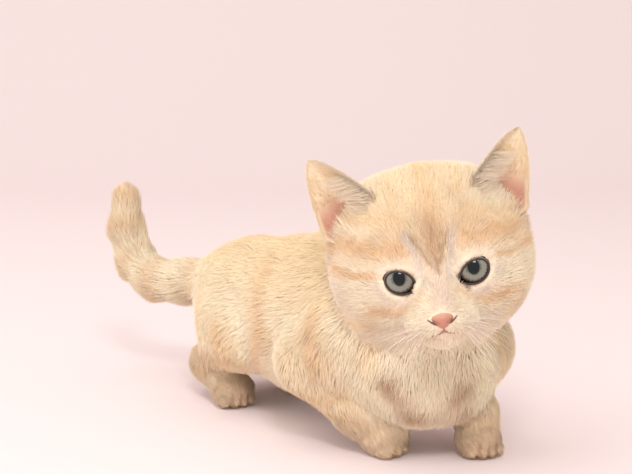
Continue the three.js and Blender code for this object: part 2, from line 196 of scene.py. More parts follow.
def leg_fields(p, name):
    """Distances to a leg's shank and to its paw, with four toes side by side on the sole."""
    (hip, knee, ankle, ball), (r0, r1, r2, r3), aim = LEGS[name]
    shank = softer(limb(p, hip, knee, r0, r1), limb(p, knee, ankle, r1, r2), SOFT["limb"])
    ahead, across = paw_ways(aim)
    sole = np.array([ball[0], ball[1], 7]) - ahead
    paw = softer(limb(p, ankle, ball, r2, r3), mass(p, sole, (r3 + 0.5, r3 + 1, 8), aim), SOFT["paw"])
    for n in (-1.5, -0.5, 0.5, 1.5):
        toe = np.array([ball[0], ball[1], 0]) + n * TOE["spread"] * across + (TOE["reach"] - 0.9 * n * n) * ahead
        toe[2] = TOE["height"]
        size = (TOE["radius"], TOE["radius"] + 1, TOE["radius"])
        paw = softer(paw, mass(p, toe, size, aim), SOFT["toe"])
    return shank, paw


def trunk_field(p):
    """Distance to the chest, belly and rump run together."""
    d = mass(p, *TRUNK[0][:3])
    for centre, radii, turn, soft in TRUNK[1:]:
        d = softer(d, mass(p, centre, radii, turn), soft)
    return d


def tail_field(p):
    """Distance to the tail's lengths run together."""
    d = None
    for (start, r0), (end, r1) in zip(TAIL, TAIL[1:]):
        piece = limb(p, start, end, r0, r1)
        d = piece if d is None else softer(d, piece, SOFT["tail"])
    return d


def head_field(q):
    """Distance to the head in its own frame, a mass that both sides have being met at |x|."""
    both = mirrored(q)
    d = None
    for centre, radii, soft, paired in HEAD:
        piece = mass(both if paired else q, centre, radii)
        d = piece if d is None else softer(d, piece, soft)
    return d


def ease(low, high, x):
    """0 below low, 1 above high, and 3t^2 - 2t^3 between them."""
    t = np.clip((x - low) / (high - low), 0, 1)
    return t * t * (3 - 2 * t)


def head_depth(q):
    """Depth of the head's coat: next to nothing at nose and lids, deep at the cheeks and nape."""
    from_face = np.linalg.norm((q - np.array([0, -36, -8])) / np.array([1.0, 1.1, 1.0]), axis=1)
    depth = 0.9 + 2.0 * ease(12, 32, from_face) + 3.2 * ease(30, 55, from_face)
    from_eye = np.linalg.norm(mirrored(q) - EYE_CENTRE, axis=1)
    return depth * (0.25 + 0.75 * ease(11, 16, from_eye))


def opening_field(q):
    """Distance to the openings of the lids: a slanted almond carried straight in to the ball."""
    x, z = np.abs(q[:, 0]) - EYE_CENTRE[0], q[:, 2] - EYE_CENTRE[2]
    cos, sin = np.cos(OPENING["slant"]), np.sin(OPENING["slant"])
    u, v = x * cos + z * sin, z * cos - x * sin
    a, b = OPENING["width"] / 2, OPENING["height"] / 2
    near = np.hypot(u / a, v / b)
    across = near * (near - 1) / np.maximum(np.hypot(u / a**2, v / b**2), 1e-9)
    return np.where(q[:, 1] < EYE_CENTRE[1], across, across + 9)


def body_parts(p, inset):
    """Distance to each part's surface, drawn in by the share inset of the depth of its coat."""
    parts = {"neck": limb(p, *NECK) + inset * COAT_DEPTH["neck"]}
    parts["trunk"] = trunk_field(p) + inset * COAT_DEPTH["trunk"]
    for name in LEGS:
        shank, paw = leg_fields(p, name)
        parts[name + "_leg"] = shank + inset * COAT_DEPTH["leg"]
        parts[name + "_paw"] = paw + inset * COAT_DEPTH["paw"]
    parts["tail"] = tail_field(p) + inset * COAT_DEPTH["tail"]
    q = to_head(p)
    parts["head"] = head_field(q) + inset * head_depth(q)
    return parts


def coat_field(p, inset=0.0):
    """Distance to the whole kitten: to the tips of its coat at inset 0, to its skin at inset 1."""
    parts = body_parts(p, inset)
    d = softer(parts["neck"], parts["trunk"], SOFT["body"])
    for name in LEGS:
        d = softer(d, softer(parts[name + "_leg"], parts[name + "_paw"], SOFT["paw"]), SOFT["body"])
    d = softer(d, parts["tail"], SOFT["body"])
    return softer(d, parts["head"], SOFT["skull"])


def skin_field(p):
    """Distance to the skin, hollowed to just under the eyeball inside the lids and flat where the
    soles stand on the ground."""
    q = to_head(p)
    before_ball = EYE_RADIUS - SOCKET_INSET - np.linalg.norm(mirrored(q) - EYE_CENTRE, axis=1)
    d = np.maximum(coat_field(p, 1.0), -np.maximum(opening_field(q) + LID_OVERHANG, before_ball))
    return np.maximum(d, SOLE_LEVEL - p[:, 2])


def slope_of(field, p, step=0.4):
    """Slope of a field at each point, from its differences along the three axes."""
    sides = [field(p + step * axis) - field(p - step * axis) for axis in np.eye(3)]
    return np.stack(sides, axis=1) / (2 * step)


def round_grid(centre, radii, turn=0, around=40, rings=24):
    """Closed grid of an ellipsoid: points of longitude and latitude, with one point at each pole."""
    lon = np.linspace(0, 2 * np.pi, around, endpoint=False)
    lat = np.linspace(-np.pi / 2, np.pi / 2, rings + 1)[1:-1]
    lat, lon = np.meshgrid(lat, lon, indexing="ij")
    ball = np.stack([np.cos(lat) * np.cos(lon), np.cos(lat) * np.sin(lon), np.sin(lat)], axis=-1)
    ball = np.concatenate([ball.reshape(-1, 3), [[0, 0, -1], [0, 0, 1]]]) * np.array(radii)
    points = ball @ turn_about("Z", np.radians(turn)).T + np.array(centre)
    return points, closed_faces(rings - 1, around)


def closed_faces(rows, around):
    """Faces of a grid closed round and capped by two poles: quads between rows, fans at the ends."""
    i, j = np.meshgrid(np.arange(rows - 1), np.arange(around), indexing="ij")
    k = (j + 1) % around
    quads = np.stack([i * around + j, i * around + k, (i + 1) * around + k, (i + 1) * around + j], axis=-1)
    j = np.arange(around)
    k = (j + 1) % around
    low = np.stack([np.full(around, rows * around), k, j], axis=1)
    top = (rows - 1) * around
    high = np.stack([np.full(around, rows * around + 1), top + j, top + k], axis=1)
    return [quads.reshape(-1, 4), low, high]


def mesh_of(name, points, faces):
    """Smooth mesh from points in metres and a list of face arrays, one for each face size."""
    mesh = bpy.data.meshes.new(name)
    loops = np.concatenate([f.ravel() for f in faces]).astype(np.int32)
    totals = np.concatenate([np.full(len(f), f.shape[1]) for f in faces]).astype(np.int32)
    mesh.vertices.add(len(points))
    mesh.vertices.foreach_set("co", np.asarray(points, np.float32).ravel())
    mesh.loops.add(len(loops))
    mesh.loops.foreach_set("vertex_index", loops)
    mesh.polygons.add(len(totals))
    mesh.polygons.foreach_set("loop_start", (np.cumsum(totals) - totals).astype(np.int32))
    mesh.update(calc_edges=True)
    mesh.validate()
    mesh.polygons.foreach_set("use_smooth", np.ones(len(mesh.polygons), bool))
    return mesh


def piece_of(name, mesh, material):
    """Object of a finished mesh, riding on the still body, with its material."""
    piece = bpy.data.objects.new(name, mesh)
    bpy.context.scene.collection.objects.link(piece)
    mesh.materials.append(material)
    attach(piece, "root")
    return piece


def joined_grids(grids):
    """All the points of several closed grids in one array, and their faces in one list."""
    firsts = np.cumsum([0] + [len(points) for points, faces in grids])
    joined_faces = [np.concatenate([faces[n] + first for (points, faces), first in zip(grids, firsts)])
                    for n in range(3)]
    return np.concatenate([points for points, faces in grids]), joined_faces


def limb_grid(start, end, r0, r1):
    """Closed grid of a limb: a ball at each end, joined by rings along the line between them."""
    start, end = np.array(start, float), np.array(end, float)
    steps = max(int(np.linalg.norm(end - start) / 5), 1)
    return [round_grid(start + (end - start) * t, [r0 + (r1 - r0) * t] * 3, around=24, rings=14)
            for t in np.linspace(0, 1, steps + 1)]


grids = [round_grid(c, np.array(r) - COAT_DEPTH["trunk"], turn) for c, r, turn, soft in TRUNK]
grids += limb_grid(NECK[0], NECK[1], NECK[2] - COAT_DEPTH["neck"], NECK[3] - COAT_DEPTH["neck"])
for (hip, knee, ankle, ball), radii, aim in LEGS.values():
    r0, r1, r2, r3 = np.array(radii) - COAT_DEPTH["leg"]
    grids += limb_grid(hip, knee, r0, r1) + limb_grid(knee, ankle, r1, r2)
    grids += limb_grid(ankle, ball, r2, radii[3] - COAT_DEPTH["paw"])
    grids += [round_grid((ball[0], ball[1] - 2, 8), (radii[3] + 1, radii[3] + 4, 7))]
for (start, r0), (end, r1) in zip(TAIL, TAIL[1:]):
    grids += limb_grid(start, end, r0 - COAT_DEPTH["tail"], r1 - COAT_DEPTH["tail"])
for centre, radii, soft, paired in HEAD:
    for side in ((1, -1) if paired else (1,)):
        points, faces = round_grid(np.array(centre) * (side, 1, 1), np.array(radii) - 1.5)
        grids.append((from_head(points), faces))
points, faces = joined_grids(grids)
rough = bpy.data.objects.new("rough", mesh_of("rough", points * MM, faces))
bpy.context.scene.collection.objects.link(rough)
remesh = rough.modifiers.new("remesh", "REMESH")
remesh.mode = "VOXEL"
remesh.voxel_size = SKIN_VOXEL * MM
grown = rough.evaluated_get(bpy.context.evaluated_depsgraph_get()).to_mesh()
skin_points = np.empty(len(grown.vertices) * 3, np.float32)
grown.vertices.foreach_get("co", skin_points)
skin_points = skin_points.reshape(-1, 3).astype(float) / MM
skin_faces = np.empty(len(grown.polygons) * 4, np.int32)
grown.loops.foreach_get("vertex_index", skin_faces)
skin_faces = skin_faces.reshape(-1, 4)
bpy.data.objects.remove(rough)


def neighbour_mean(points, faces):
    """Mean of each point's neighbours along the edges of the quads."""
    ends = np.concatenate([faces[:, [0, 1]], faces[:, [1, 2]], faces[:, [2, 3]], faces[:, [3, 0]]])
    count = np.bincount(ends[:, 0], minlength=len(points))
    total = np.stack([np.bincount(ends[:, 0], points[ends[:, 1], c], len(points)) for c in range(3)], axis=1)
    return total / np.maximum(count, 1)[:, None]


for settling in range(SETTLINGS):
    slope = slope_of(skin_field, skin_points)
    level = skin_field(skin_points)
    square = np.maximum(np.sum(slope * slope, axis=1), 0.25)
    skin_points = skin_points - slope * np.clip(level / square, -LONGEST_SETTLING, LONGEST_SETTLING)[:, None]
    if settling < SETTLINGS - 1:
        skin_points = 0.5 * skin_points + 0.5 * neighbour_mean(skin_points, skin_faces)

# Markings and painted shade
# The coat is cream with ginger tabby marks, and the skin under it takes the same colours. Each mark
# is a soft stroke along a few named points, laid over the ground colours one after the other. Some
# strokes and tones are painted shade, not marks: the brown under the chest between the forelegs,
# the darker lower legs and the clefts between the toes.
TONES = dict(
    cream=(250, 233, 205), butter=(248, 224, 184), pale=(239, 223, 200), white=(232, 215, 198),
    apricot=(243, 208, 162), ginger=(229, 184, 134), brown=(172, 124, 84), pink=(226, 178, 160),
    # The first tone on the next line is painted shade, laid low on the legs.
    painted_shade=(206, 172, 140), blush=(240, 217, 200), flesh=(196, 134, 114),
)
FACE_MARKS = [
    ("apricot", 0.55, 17, [(0, 50), (0, 32)]),
    ("white", 0.8, 7, [(-41, 22), (-43, 8), (-42, -8)]),
    ("white", 0.6, 7, [(42, 20), (44, 8), (43, -8)]),
    ("apricot", 0.45, 2.6, [(-13.5, 28), (-15, 36)]),
    ("apricot", 0.45, 2.6, [(12, 28), (14, 36)]),
    ("apricot", 0.45, 3.4, [(0.3, 50), (0.4, 36), (0.8, 24)]),
    ("ginger", 0.50, 4.8, [(0.5, 18), (0.3, 11), (-0.2, 4)]),
    ("ginger", 0.75, 4.4, [(-13, 11.5), (-24, 12.8), (-37, 13.5)]),
    ("ginger", 0.75, 4.4, [(13, 12.8), (23, 12.8), (35, 11.5)]),
    ("apricot", 0.6, 3.0, [(-12, 20), (-23.8, 24), (-35, 25)]),
    ("apricot", 0.6, 3.0, [(13, 20), (24, 20), (37, 18)]),
    ("blush", 0.8, 4.0, [(0, 1), (-0.5, -9)]),
    ("white", 0.95, 1.9, [(-8.9, 14), (-7.8, 8), (-5.6, -3)]),
    ("white", 0.95, 1.9, [(8.4, 13.4), (7.0, 7.6), (4.9, -3)]),
    ("brown", 0.50, 0.9, [(-7.0, 15), (-4.0, 7.6), (-1.6, 3.4)]),
    ("brown", 0.50, 0.9, [(6.2, 14.6), (3.2, 8), (1.6, 4.4)]),
    ("brown", 0.60, 0.9, [(0.4, 16), (0.4, 9), (0.2, 0.5)]),
    ("brown", 0.35, 0.6, [(-2.4, 16), (-1.4, 8)]),
    ("brown", 0.35, 0.6, [(3.6, 15.5), (2.2, 8.5)]),
    ("ginger", 0.8, 1.5, [(-24.0, 3.0), (-31.5, 3.1), (-38, 5)]),
    ("ginger", 0.8, 1.5, [(25.5, 4.5), (32.7, 3.8), (40, 6)]),
    ("ginger", 0.60, 2.4, [(-9.6, -6.6), (-17, -13.0), (-25, -11.5)]),
    ("ginger", 0.65, 2.4, [(8.6, -7), (17.5, -13.0), (28, -10.5)]),
    ("apricot", 0.5, 2.4, [(-24, -18), (-33, -16), (-40, -12)]),
    ("apricot", 0.5, 2.4, [(24, -19), (33, -17), (40, -13)]),
    ("pale", 0.7, 6.0, [(-12, -20), (-22, -24)]),
    ("pale", 0.7, 6.0, [(11, -20), (21, -24)]),
    ("cream", 0.6, 5.0, [(33, -3), (35, -9)]),
    ("cream", 0.9, 6.0, [(-5, -29), (4, -29)]),
    ("pink", 0.25, 1.3, [(-8, -23.4), (-1, -24.0), (6.5, -23.4)]),
]
EYE_RING = dict(near=8.0, width=1.7)
BODY_MARKS_AND_SHADE = [
    ("apricot", 0.75, 9, [(0, -30, 104), (0, 20, 95), (0, 60, 90), (-5, 88, 80)]),
    ("apricot", 0.6, 5, [(17, -14, 98), (20, 30, 88), (16, 70, 84)]),
    ("apricot", 0.6, 5, [(-17, -14, 98), (-20, 30, 88), (-20, 70, 84)]),
    ("ginger", 0.60, 7, [(-30, 20, 82), (-37, 16, 64), (-37, 13, 50), (-29, 24, 30)]),
    ("ginger", 0.60, 7, [(30, 20, 82), (37, 16, 64), (37, 13, 50), (29, 24, 30)]),
    ("apricot", 0.60, 6, [(-38, 52, 76), (-42, 50, 56), (-38, 46, 36)]),
    ("apricot", 0.60, 6, [(38, 52, 76), (38, 50, 56), (36, 46, 36)]),
    ("ginger", 0.50, 5, [(-34, 78, 70), (-38, 76, 52), (-32, 72, 34)]),
    ("ginger", 0.50, 5, [(30, 78, 70), (34, 76, 52), (28, 72, 34)]),
    ("ginger", 0.55, 7, [(-40, -30, 66), (-44, -34, 54), (-43, -36, 48)]),
    ("ginger", 0.55, 7, [(44, -30, 66), (46, -40, 54), (44, -44, 46)]),
    ("pale", 0.70, 8, [(-40, -48, 60), (-39, -50, 48)]),
    ("apricot", 0.55, 6, [(-32, -62, 62), (-36, -58, 44), (-34, -52, 32)]),
    ("apricot", 0.55, 6, [(30, -78, 60), (36, -72, 44), (36, -66, 32)]),
    ("pale", 0.80, 18, [(0, -40, 14), (0, 20, 18), (-4, 60, 16)]),
    ("cream", 0.95, 12, [(-7, -86, 56), (-12, -84, 44), (-14, -80, 32)]),
    # Painted shade: the two brown strokes below darken the chest between the forelegs, beside and under the bib's
    # tip, where the body's shade falls.
    ("brown", 0.85, 5.5, [(-26, -70, 42), (-22, -72, 34), (-15, -75, 26), (-7, -80, 22), (8, -82, 21)]),
    ("brown", 0.75, 5, [(4, -88, 40), (-1, -86, 31), (9, -82, 24)]),
]
LEG_BANDS = (30, 20)
TAIL_BANDS = (0.10, 0.34, 0.58, 0.80, 0.97)


def tone(name):
    """A named tone as linear light."""
    c = np.array(TONES[name]) / 255
    return np.where(c <= 0.04045, c / 12.92, ((c + 0.055) / 1.055) ** 2.4)


def line_distance(p, points):
    """Distance to the line drawn through the named points."""
    points = np.array(points, float)
    return np.minimum.reduce([along_line(p, start, end)[1] for start, end in zip(points, points[1:])])


def stroke(p, points, width):
    """Weight of a soft stroke: e to the minus square of the distance to its points' line over width."""
    return np.exp(-np.square(line_distance(p, points) / width))


def laid(colours, name, weight):
    """Colours with a tone laid over them by a weight for each point."""
    return colours + (tone(name) - colours) * weight[:, None]


def ripple(p, size, seed):
    """Smooth unevenness between -1 and 1: the mean of seven sine waves in seeded directions."""
    rng = np.random.default_rng(seed)
    total = np.zeros(len(p))
    for _ in range(7):
        wave = rng.normal(size=3)
        total += np.sin(p @ (wave / np.linalg.norm(wave)) * 2 * np.pi / size * rng.uniform(0.6, 1.5)
                        + rng.uniform(0, 2 * np.pi))
    return total / 3.5


def tail_share(p):
    """Share of the way along the tail at the nearest of its lengths."""
    best, share = np.full(len(p), 1e9), np.zeros(len(p))
    for n, ((start, r0), (end, r1)) in enumerate(zip(TAIL, TAIL[1:])):
        t, away = along_line(p, start, end)
        share = np.where(away < best, (n + t) / (len(TAIL) - 1), share)
        best = np.minimum(away, best)
    return share


def face_colours(q):
    """Colours of the head by place in its own frame: ground tones, eye rings, then the strokes."""
    c = np.broadcast_to(tone("cream"), (len(q), 3)).copy()
    c = laid(c, "pale", 0.6 * ease(-4, -24, q[:, 2]))
    c = laid(c, "butter", 0.8 * ease(-6, 14, q[:, 1]))
    front = 1 - ease(2, 14, q[:, 1])
    both = np.stack([np.abs(q[:, 0]), q[:, 2]], axis=1) - EYE_CENTRE[[0, 2]]
    around = np.hypot(both[:, 0] * 0.86, both[:, 1])
    near_eye = np.exp(-np.square((around - EYE_RING["near"]) / EYE_RING["width"]))
    wander = np.stack([ripple(q, 9, 31), ripple(q, 9, 32)], axis=1) * 0.5
    for name, strength, width, points in FACE_MARKS:
        c = laid(c, name, strength * front * stroke(q[:, [0, 2]] + wander, points, width))
    under_eye = 0.45 + 0.3 * ease(3, -4, both[:, 1])
    return laid(c, "white", under_eye * near_eye * front)


def body_colours(p):
    """Colours of the trunk, neck, legs and tail by place in the kitten's frame, with painted shade under the chest
    between the forelegs.
    """
    c = np.broadcast_to(tone("cream"), (len(p), 3)).copy()
    c = laid(c, "butter", 0.8 * ease(50, 84, p[:, 2]))
    c = laid(c, "apricot", 0.25 * ease(60, 96, p[:, 2]))
    wander = np.stack([ripple(p, 26, 33 + n) for n in range(3)], axis=1) * 2.5
    for name, strength, width, points in BODY_MARKS_AND_SHADE:
        c = laid(c, name, strength * stroke(p + wander, points, width))
    return c


def toe_cleft_shade(p):
    """Weight of painted shade in the three clefts between the toes of each paw: 1 in them, fading to 0 within about a
    millimetre.
    """
    cleft = np.zeros(len(p))
    for joints, _, aim in LEGS.values():
        ahead, side = paw_ways(aim)
        from_ball = p - np.array([*joints[3][:2], 0])
        across, forward = from_ball @ side, from_ball @ ahead
        front = ease(2.5, 5, forward) * (1 - ease(13, 15, forward)) * (1 - ease(7, 11, p[:, 2]))
        for n in (-1, 0, 1):
            cleft = np.maximum(cleft, front * np.exp(-np.square((across - n * TOE["spread"]) / 0.75)))
    return cleft


def coat_colours(p):
    """Colour of the coat at every point, run from part to part by how near each part is, with painted shade low on
    the legs and in the clefts between the toes.
    """
    parts = body_parts(p, 1.0)
    near = np.stack([parts["head"], *[d for name, d in parts.items() if name.endswith(("leg", "paw"))],
                     parts["tail"], softer(parts["neck"], parts["trunk"], SOFT["body"])], axis=1)
    weight = np.exp(-(near - near.min(axis=1, keepdims=True)) / 2.5)
    weight /= weight.sum(axis=1, keepdims=True)
    legs = weight[:, 1:-2].sum(axis=1)
    q = to_head(p)
    c = face_colours(q) * weight[:, :1] + body_colours(p) * (1 - weight[:, :1])
    c = laid(c, "apricot", 0.25 * legs)
    height = p[:, 2] + 3 * ripple(p, 20, 40)
    for band in LEG_BANDS:
        c = laid(c, "ginger", 0.5 * legs * np.exp(-np.square((height - band) / 3)))
    # Painted shade: the legs darken towards the ground, under the body.
    c = laid(c, "painted_shade", 0.55 * legs * (1 - ease(12, 30, p[:, 2])))
    # Painted shade in the clefts between the toes.
    c = laid(c, "brown", 0.65 * legs * toe_cleft_shade(p))
    share = tail_share(p) + 0.02 * ripple(p, 14, 41)
    c = laid(c, "cream", 0.9 * weight[:, -2])
    for band in TAIL_BANDS:
        c = laid(c, "ginger", 0.35 * weight[:, -2] * np.exp(-np.square((share - band) / 0.05)))
    return c * (1 + 0.05 * ripple(p, 11, 42) + 0.03 * ripple(p, 4, 43))[:, None]


def colour_points(mesh, colours):
    """Writes one linear colour for each point into the mesh's colour attribute, which holds the marks and the painted
    shade.
    """
    layer = mesh.color_attributes.new("MarksAndPaintedShade", "FLOAT_COLOR", "POINT")
    rgba = np.ones((len(colours), 4), np.float32)
    rgba[:, :3] = np.clip(colours, 0, 1)
    layer.data.foreach_set("color", rgba.ravel())


def coloured_piece(name, points, faces, colours, material):
    """Object of points in the kitten's own frame in millimetres, with a colour at each of them."""
    mesh = mesh_of(name, to_metres(points), faces)
    colour_points(mesh, colours)
    return piece_of(name, mesh, material)


def finish_of(name, roughness, sheen=0.0, coat=0.0):
    """New material whose colour is the mesh's colour attribute of marks and painted shade; gives its nodes, links and
    shader.
    """
    material = bpy.data.materials.new(name)
    material.use_nodes = True
    nodes, links = material.node_tree.nodes, material.node_tree.links
    shader = nodes["Principled BSDF"]
    shader.inputs["Roughness"].default_value = roughness
    shader.inputs["Sheen Weight"].default_value = sheen
    shader.inputs["Coat Weight"].default_value = coat
    colour = nodes.new("ShaderNodeAttribute")
    colour.attribute_name = "MarksAndPaintedShade"
    links.new(colour.outputs["Color"], shader.inputs["Base Color"])
    return material, nodes, links, shader


def add_bump(nodes, links, shader, scale, strength, distance, detail=4):
    """Fine unevenness: a noise in Object space, scale waves to the metre, as bump."""
    place = nodes.new("ShaderNodeTexCoord")
    noise = nodes.new("ShaderNodeTexNoise")
    noise.inputs["Scale"].default_value = scale
    noise.inputs["Detail"].default_value = detail
    bump = nodes.new("ShaderNodeBump")
    bump.inputs["Strength"].default_value = strength
    bump.inputs["Distance"].default_value = distance
    links.new(place.outputs["Object"], noise.inputs["Vector"])
    links.new(noise.outputs["Fac"], bump.inputs["Height"])
    links.new(bump.outputs["Normal"], shader.inputs["Normal"])


skin_finish, nodes, links, shader = finish_of("skin_and_underfur", roughness=0.85, sheen=0.1)
add_bump(nodes, links, shader, scale=1400, strength=0.5, distance=0.0004)
skin = coloured_piece("skin", skin_points, [skin_faces], coat_colours(skin_points), skin_finish)
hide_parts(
    "head", "neck", "torso", "front_leg_left", "front_leg_right", "front_paw_left", "front_paw_right",
    "hind_leg_left", "hind_leg_right", "hind_paw_left", "hind_paw_right", "tail_base", "tail_middle", "tail_tip",
)

# Ears
# Two thin cups of gristle and skin, pink inside, furred outside, wide at the root and rounded at
# the tip. Each is a leaf bent round its own long axis, closed at the rim, its root sunk in the head.
EAR = dict(root=(23.5, -10, 16), tip=(48.5, 3, 57.5), across=(0.82, 0.43, -0.36))
EAR_SHAPE = dict(half_width=16.2, widest=0.34, narrowing=0.62, cup=9.5, thickness=1.5)
EAR_TIP_SHARE = 0.95
SIDES = (("left", 1), ("right", -1))


def ear_frame():
    """The ear's root and long axis, and the unit directions across it and out of its front."""
    root, axis = np.array(EAR["root"]), np.subtract(EAR["tip"], EAR["root"])
    up = axis / np.linalg.norm(axis)
    wide = np.array(EAR["across"]) - np.dot(EAR["across"], up) * up
    wide /= np.linalg.norm(wide)
    return root, axis, wide, np.cross(wide, up)


def ear_points(s, u, lift, side):
    """Ear at share s up its axis and u across it, lifted forwards: a leaf whose half width rises as
    the root of s, then tapers, and which is hollowed by the cup's depth times 1 - u^2."""
    root, axis, wide, front = ear_frame()
    rising = np.sqrt(np.minimum(s / EAR_SHAPE["widest"], 1))
    narrow = np.minimum((1 - s) / (1 - EAR_SHAPE["widest"]), 1) ** EAR_SHAPE["narrowing"]
    taper = rising * narrow
    forward = lift * np.sqrt(taper) - EAR_SHAPE["cup"] * taper * (0.5 - u * u)
    q = root + s[:, None] * EAR_TIP_SHARE * axis + (u * EAR_SHAPE["half_width"] * taper)[:, None] * wide
    return (q + forward[:, None] * front) * np.array([side, 1, 1])


def ear_grid(side, around=96, rows=72):
    """Closed leaf: rings round a flat oval section from root to tip, drawn to a pole at both ends."""
    s = 0.5 + np.linspace(-0.5, 0.5, rows + 2)[1:-1]
    turn = np.linspace(0, 2 * np.pi, around, endpoint=False)
    s, turn = np.meshgrid(s, turn, indexing="ij")
    u, face = np.cos(turn).ravel(), np.sin(turn).ravel()
    points = ear_points(s.ravel(), u, 0.5 * EAR_SHAPE["thickness"] * face, side)
    poles = ear_points(np.array([0.0, 1.0]), np.zeros(2), np.zeros(2), side)
    faces = closed_faces(rows, around)
    if side > 0:
        faces = [f[:, ::-1] for f in faces]
    s, u, face = np.append(s.ravel(), [0, 1]), np.append(u, [0, 0]), np.append(face, [0, 0])
    return np.concatenate([points, poles]), s, u, face, faces


def ear_colours(s, u, inside):
    """Dusky pink skin low in the cup and out to its back edge, paling into cream at rim and tip."""
    c = np.broadcast_to(tone("cream"), (len(s), 3)).copy()
    c = laid(c, "apricot", 0.5 * (1 - ease(0.6, 1.0, s)))
    depth = inside * (1 - ease(0.86, 1.0, u)) * ease(-0.98, -0.6, u) * (1 - ease(0.42, 0.72, s))
    return laid(c, "flesh", 0.95 * depth)


ear_finish, nodes, links, shader = finish_of("ear_skin", roughness=0.6)
shader.inputs["Subsurface Weight"].default_value = 0.15
shader.inputs["Subsurface Radius"].default_value = (0.004, 0.0015, 0.001)
shader.inputs["Subsurface Scale"].default_value = 1.0
add_bump(nodes, links, shader, scale=900, strength=0.3, distance=0.0003)
for name, side in SIDES:
    points, s, u, face, faces = ear_grid(side)
    colours = ear_colours(s, u, face > 0)
    ear = coloured_piece(f"ear_skin_{name}", from_head(points), faces, colours, ear_finish)
    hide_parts(f"ear_{name}")

# Eyes
# A wet ball with a clear domed front. The iris is grey-green, darker at its edge and round an oval
# upright pupil, with fine threads running out from it. The pattern lies on the eye's own UV map.
CORNEA_RISE = 0.9
IRIS = dict(pupil_width=2.35, pupil_height=3.15)
GAZE_POINT = CAMERA_PLACE + np.array([0, 0, 60])
EYE_MAP_SIZE = 20


def eye_grid(side, around=96, rings=64):
    """Ball drawn out in front: radius plus the cornea's rise times the sine of how far forward the
    ray is. Its poles lie on the line of sight, so that the rings follow the iris."""
    centre = from_head(EYE_CENTRE * (side, 1, 1))
    sight = GAZE_POINT - centre
    sight /= np.linalg.norm(sight)
    right = np.cross(sight, HEAD_AXES[:, 2])
    right /= np.linalg.norm(right)
    up = np.cross(right, sight)
    tilt = np.pi * (np.linspace(0, 1, rings + 1)[1:-1]) ** 1.4
    tilt, turn = np.meshgrid(tilt, np.linspace(0, 2 * np.pi, around, endpoint=False), indexing="ij")
    tilt, turn = np.append(tilt, [0, np.pi]), np.append(turn, [0, 0])
    rise = CORNEA_RISE * np.sin(np.maximum(np.cos(tilt) - 0.55, 0) / 0.45 * np.pi / 2)
    local = np.stack([np.sin(tilt) * np.cos(turn), np.sin(tilt) * np.sin(turn), np.cos(tilt)], axis=1)
    points = centre + (local * (EYE_RADIUS + rise)[:, None]) @ np.stack([right, up, sight])
    flat = local[:, :2] * EYE_RADIUS * (tilt / np.maximum(np.sin(tilt), 1e-6))[:, None]
    flat[-1] = (0, 0.495 * EYE_MAP_SIZE)
    return points, np.clip(flat / EYE_MAP_SIZE + 0.5, 0, 1), closed_faces(rings - 1, around)


def node_maths(nodes, links, operation, first, second=None):
    """A Math node fed by sockets or plain numbers; gives its output socket."""
    maths = nodes.new("ShaderNodeMath")
    maths.operation = operation
    for socket, value in zip(maths.inputs, (first, second)):
        if isinstance(value, (int, float)):
            socket.default_value = value
        elif value is not None:
            links.new(value, socket)
    return maths.outputs[0]


def node_hypot(nodes, links, first, second):
    """Square root of the sum of two sockets' squares."""
    squares = [node_maths(nodes, links, "MULTIPLY", side, side) for side in (first, second)]
    return node_maths(nodes, links, "SQRT", node_maths(nodes, links, "ADD", *squares))


def ramp_of(nodes, links, factor, stops):
    """Colour ramp through (place, tone) stops, each tone being red, green and blue out of 255."""
    ramp = nodes.new("ShaderNodeValToRGB")
    while len(ramp.color_ramp.elements) < len(stops):
        ramp.color_ramp.elements.new(0.5)
    for element, (place, colour) in zip(ramp.color_ramp.elements, stops):
        element.position = place
        element.color = (*[(c / 255) ** 2.2 for c in colour], 1)
    links.new(factor, ramp.inputs["Fac"])
    return ramp.outputs["Color"]


eye_finish = bpy.data.materials.new("eye")
eye_finish.use_nodes = True
nodes, links = eye_finish.node_tree.nodes, eye_finish.node_tree.links
shader = nodes["Principled BSDF"]
shader.inputs["Roughness"].default_value = 0.3
shader.inputs["Specular IOR Level"].default_value = 0.0
shader.inputs["Coat Weight"].default_value = 1.0
shader.inputs["Coat Roughness"].default_value = 0.02
shader.inputs["Coat IOR"].default_value = 1.38
place = nodes.new("ShaderNodeUVMap")
place.uv_map = "EyeMap"
parted = nodes.new("ShaderNodeSeparateXYZ")
links.new(place.outputs["UV"], parted.inputs[0])
from_middle = [node_maths(nodes, links, "SUBTRACT", parted.outputs[n], 0.5) for n in (0, 1)]
eye_x, eye_z = [node_maths(nodes, links, "MULTIPLY", share, EYE_MAP_SIZE) for share in from_middle]
reach = node_hypot(nodes, links, eye_x, eye_z)
bearing = node_maths(nodes, links, "ARCTAN2", eye_z, eye_x)
threads = nodes.new("ShaderNodeTexNoise")
threads.noise_dimensions = "2D"
threads.inputs["Scale"].default_value = 1.0
threads.inputs["Detail"].default_value = 3
thread_place = nodes.new("ShaderNodeCombineXYZ")
links.new(node_maths(nodes, links, "MULTIPLY", bearing, 9), thread_place.inputs[0])
links.new(node_maths(nodes, links, "MULTIPLY", reach, 0.45), thread_place.inputs[1])
links.new(thread_place.outputs[0], threads.inputs["Vector"])
uneven = node_maths(nodes, links, "SUBTRACT", threads.outputs["Fac"], 0.5)
uneven = node_maths(nodes, links, "MULTIPLY", uneven, 1.6)
iris_place = node_maths(nodes, links, "DIVIDE", node_maths(nodes, links, "ADD", reach, uneven), 10)
iris_colour = ramp_of(nodes, links, iris_place, [
    (0.00, (90, 88, 76)), (0.27, (96, 95, 84)), (0.36, (134, 134, 122)), (0.51, (138, 137, 127)),
    (0.57, (112, 105, 98)), (0.625, (56, 47, 43)), (0.72, (30, 22, 20)), (1.00, (40, 28, 26)),
])
across = node_maths(nodes, links, "DIVIDE", eye_x, IRIS["pupil_width"])
